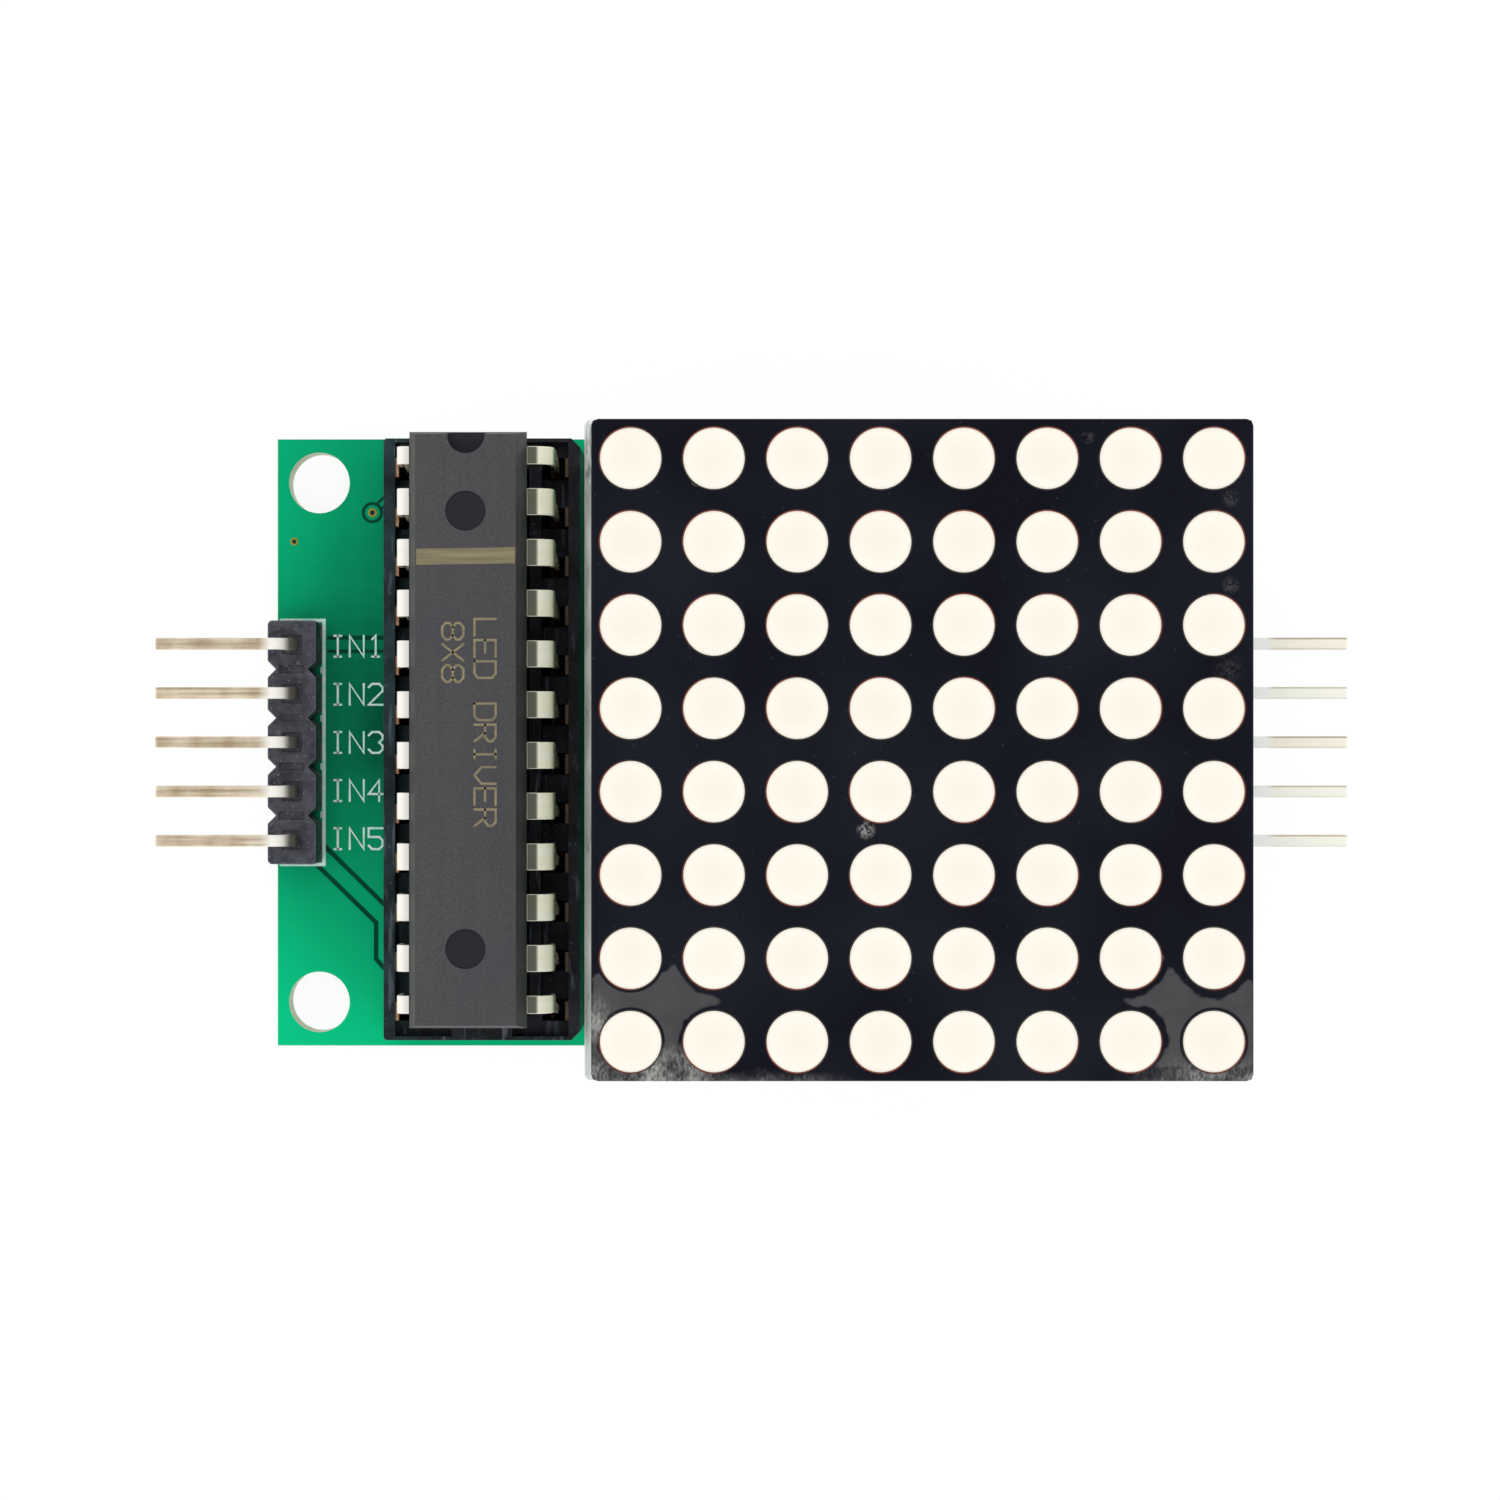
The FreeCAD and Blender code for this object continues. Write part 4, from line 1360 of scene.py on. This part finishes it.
# How fast the painted highlight of a dot's edge fades towards its middle
dot_edge_fade = 1.6
rim_gap = 0.002
rim_drop = 0.02


def display_dots():
    """Cream discs a little below the face, each in its red-brown rim."""
    dots, rims = Shape(), Shape()
    edge_highlights, sides = [], []
    base = plate_top - dot_recess
    for dx in grid_offsets(dot_count, dot_pitch):
        for dy in grid_offsets(dot_count, dot_pitch):
            x, y = display_mid.x + dx, display_mid.y + dy
            rings = [circle(x, y, plate_bottom, dot_radius, window_sides)]
            for share in dot_shares:
                z = base + dot_dome * (1 - share * share)
                rings.append(circle(x, y, z, dot_radius * share, window_sides))
            dots.rings(rings)
            for share in (1.0, *dot_shares):
                edge = max(0.0, 1 - dot_edge_fade * (1 - share))
                edge_highlights += [(edge, 0.0, 0.0)] * window_sides
            rims.disc_ring(x, y, dot_radius, window_radius - rim_gap, plate_bottom,
                           plate_top - rim_drop, window_sides)
            turns = [2 * pi * i / window_sides - atan2(dy, dx) for i in range(window_sides)]
            sides += [(max(0.0, cos(turn)), 0.0, 0.0) for turn in turns] * washer_circles
    store_marks(dots.make("display_dots", ["dot"], "die_material", 35), "rim", edge_highlights)
    store_marks(rims.make("display_rims", ["rim"], "display_mask", 35), "outer", sides)


# Small parts between the board and the display; profiles are a share of the radius and a rise

can_profile = ((0.86, 0.0), (0.97, 0.06), (1.0, 0.25), (1.0, 0.85), (0.93, 1.0), (0.93, 1.1),
               (1.0, 1.25))
can_top_profile = ((1.0, -0.35), (0.97, -0.1), (0.9, 0.0), (0.82, -0.02), (0.8, -0.1))
can_sides = 48
stripe_half_angle = 0.42
# Upper levels of the can, above its sleeve
can_bare_levels = 3


def electrolytic():
    """Crimped can in its sleeve, with the pale stripe at the negative lead."""
    low, high = span("electrolytic_can")
    x, y, _ = middle("electrolytic_can")
    radius = (high.x - low.x) / 2
    profile = [(share, low.z + rise) for share, rise in can_profile]
    profile += [(share, high.z + rise) for share, rise in can_top_profile]
    shape = Shape()
    shape.rings([circle(x, y, z, share * radius, can_sides) for share, z in profile])
    for i in range(len(shape.faces) - 2):
        level, place = divmod(i, can_sides)
        if level >= len(profile) - can_bare_levels:
            shape.materials[i] = 2
        elif abs(place / can_sides * 2 * pi - pi) < stripe_half_angle:
            shape.materials[i] = 1
    shape.materials[len(shape.faces) - 1] = 2
    materials = ["sleeve", "stripe", "aluminium"]
    replace(shape.make("electrolytic_sleeve", materials, "can_sleeve", 50), "electrolytic_can")


# Powers of the dipped body's section and of its swell along its depth
ceramic_corner = 2 / 2.8
ceramic_swell = 0.55
ceramic_sides = 40
ceramic_levels = 14


def ceramic():
    """Dipped capacitor: a rounded lens."""
    low, high = span("ceramic_body")
    mid = (low + high) / 2
    half = (high - low) / 2
    rings = []
    for level in range(ceramic_levels + 1):
        turn = pi * level / ceramic_levels
        share = max(0.02, sin(turn)) ** ceramic_swell
        ring = []
        for px, pz, _ in circle(0.0, 0.0, 0.0, 1.0, ceramic_sides):
            px = copysign(abs(px) ** ceramic_corner, px)
            pz = copysign(abs(pz) ** ceramic_corner, pz)
            ring.append((mid.x + half.x * share * px, mid.y - half.y * cos(turn),
                         mid.z + half.z * share * pz))
        rings.append(ring[::-1])
    shape = Shape()
    shape.rings(rings)
    replace(shape.make("ceramic_coating", ["ceramic"], "ceramic_coat", 60), "ceramic_body")


# Distance from an end of the resistor and share of its radius there
resistor_profile = ((0.0, 0.45), (0.03, 0.66), (0.1, 0.86), (0.22, 0.97), (0.5, 1.0), (0.95, 0.97),
                    (1.35, 0.88), (1.8, 0.83))
resistor_sides = 40


def resistor():
    """Lacquered body, thicker over its two end caps."""
    low, high = span("resistor_body")
    mid = (low + high) / 2
    radius = (high.z - low.z) / 2
    ends = [(low.x + rise, share) for rise, share in resistor_profile]
    ends += [(high.x - rise, share) for rise, share in reversed(resistor_profile)]
    rings = []
    for x, share in ends:
        ring = circle(mid.y, mid.z, x, share * radius, resistor_sides)
        rings.append([(x, y, z) for y, z, x in ring])
    shape = Shape()
    shape.rings(rings)
    replace(shape.make("resistor_lacquer", ["resistor"], "resistor_coat", 60), "resistor_body")


# Floor, light and camera

floor_size = 1600
floor_gap = 0.02
floor_glow = 0.86
floor_diffuse = (0.18, 0.18, 0.18, 1.0)
floor_plain = (0.85, 0.85, 0.85, 1.0)
world_level = 0.95
overhead_level = 0.03
# Dark patch overhead: its limits in degrees from straight up, and its soft edge
overhead_left = -14.0
overhead_right = 10.5
overhead_side = 8.5
overhead_soft = 0.7
key_power = 0.4
key_size = 350
key_place = (-60, -100, 600)


def seen_rays(nodes):
    """One for rays that show the background: from the camera, a gloss or a clear piece."""
    total = nodes.out("LightPath", "Is Camera Ray")
    for kind in ("Is Glossy Ray", "Is Transmission Ray"):
        total = nodes.math("MAXIMUM", total, nodes.out("LightPath", kind))
    return total


def cleared(tree):
    tree.nodes.clear()
    return Nodes(tree)


def floor():
    """White floor that keeps the shadow and glows only for the rays that show it."""
    size = floor_size / 2 * MM
    z = (tail_bottom - floor_gap) * MM
    mesh = bpy.data.meshes.new("floor")
    corners = [(-size, -size, z), (size, -size, z), (size, size, z), (-size, size, z)]
    mesh.from_pydata(corners, [], [(0, 1, 2, 3)])
    piece = bpy.data.objects.new("floor", mesh)
    bpy.context.scene.collection.objects.link(piece)
    material = bpy.data.materials.new("floor_white")
    material.use_nodes = True
    nodes = cleared(material.node_tree)
    pale = nodes.out("BsdfDiffuse", 0, {"Color": floor_diffuse})
    glow = nodes.out("Emission", 0, {"Strength": floor_glow})
    shown = nodes.out("AddShader", 0, {0: pale, 1: glow})
    plain = nodes.out("BsdfDiffuse", 0, {"Color": floor_plain})
    chosen = nodes.out("MixShader", 0, {0: seen_rays(nodes), 1: plain, 2: shown})
    nodes.node("OutputMaterial", {"Surface": chosen})
    mesh.materials.append(material)


def world():
    """Even white surroundings with a dark patch straight overhead, as round a lens."""
    scene_world = bpy.data.worlds.new("studio")
    scene_world.use_nodes = True
    bpy.context.scene.world = scene_world
    nodes = cleared(scene_world.node_tree)
    toward = nodes.out("TexCoord", "Generated")

    def beyond(axis, degrees, before, after):
        """One number before a limit along an axis and another after it."""
        low, high = (sin(radians(degrees + soft)) for soft in (-overhead_soft, overhead_soft))
        return nodes.between(nodes.axis(axis, toward), low, high, before, after)

    across = beyond(0, overhead_left, 0.0, 1.0) * beyond(0, overhead_right, 1.0, 0.0)
    along = beyond(1, -overhead_side, 0.0, 1.0) * beyond(1, overhead_side, 1.0, 0.0)
    inside = across * along * beyond(2, 0.0, 0.0, 1.0)
    level = nodes.between(inside, 0.0, 1.0, 1.0, overhead_level)
    level = nodes.math("MAXIMUM", level, nodes.out("LightPath", "Is Camera Ray"))
    light = nodes.out("Background", 0, {"Color": WHITE, "Strength": world_level})
    seen = nodes.out("Background", 0, {"Color": WHITE, "Strength": level})
    chosen = nodes.out("MixShader", 0, {0: seen_rays(nodes), 1: light, 2: seen})
    nodes.node("OutputWorld", {"Surface": chosen})


def lights():
    data = bpy.data.lights.new("key", "AREA")
    data.energy = key_power
    data.size = key_size * MM
    lamp = bpy.data.objects.new("key", data)
    lamp.location = [part * MM for part in key_place]
    lamp.visible_glossy = False
    lamp.rotation_mode = "QUATERNION"
    lamp.rotation_quaternion = (-lamp.location).to_track_quat("-Z", "Y")
    bpy.context.scene.collection.objects.link(lamp)


def camera():
    data = bpy.data.cameras.new("camera")
    data.lens = camera_lens
    data.sensor_width = sensor_width
    data.clip_start = camera_near * MM
    data.clip_end = camera_far * MM
    eye = bpy.data.objects.new("camera", data)
    eye.location = (camera_x * MM, camera_y * MM, camera_z * MM)
    bpy.context.scene.collection.objects.link(eye)
    bpy.context.scene.camera = eye


bpy.context.scene.view_settings.view_transform = "Standard"
camera()
world()
lights()
floor()
dress_nodes()
chip_leads()
board_print()
tracks()
vias()
solder_joints()
chip_marking()
replace(display_face(), "matrix_mask")
display_dots()
electrolytic()
ceramic()
resistor()
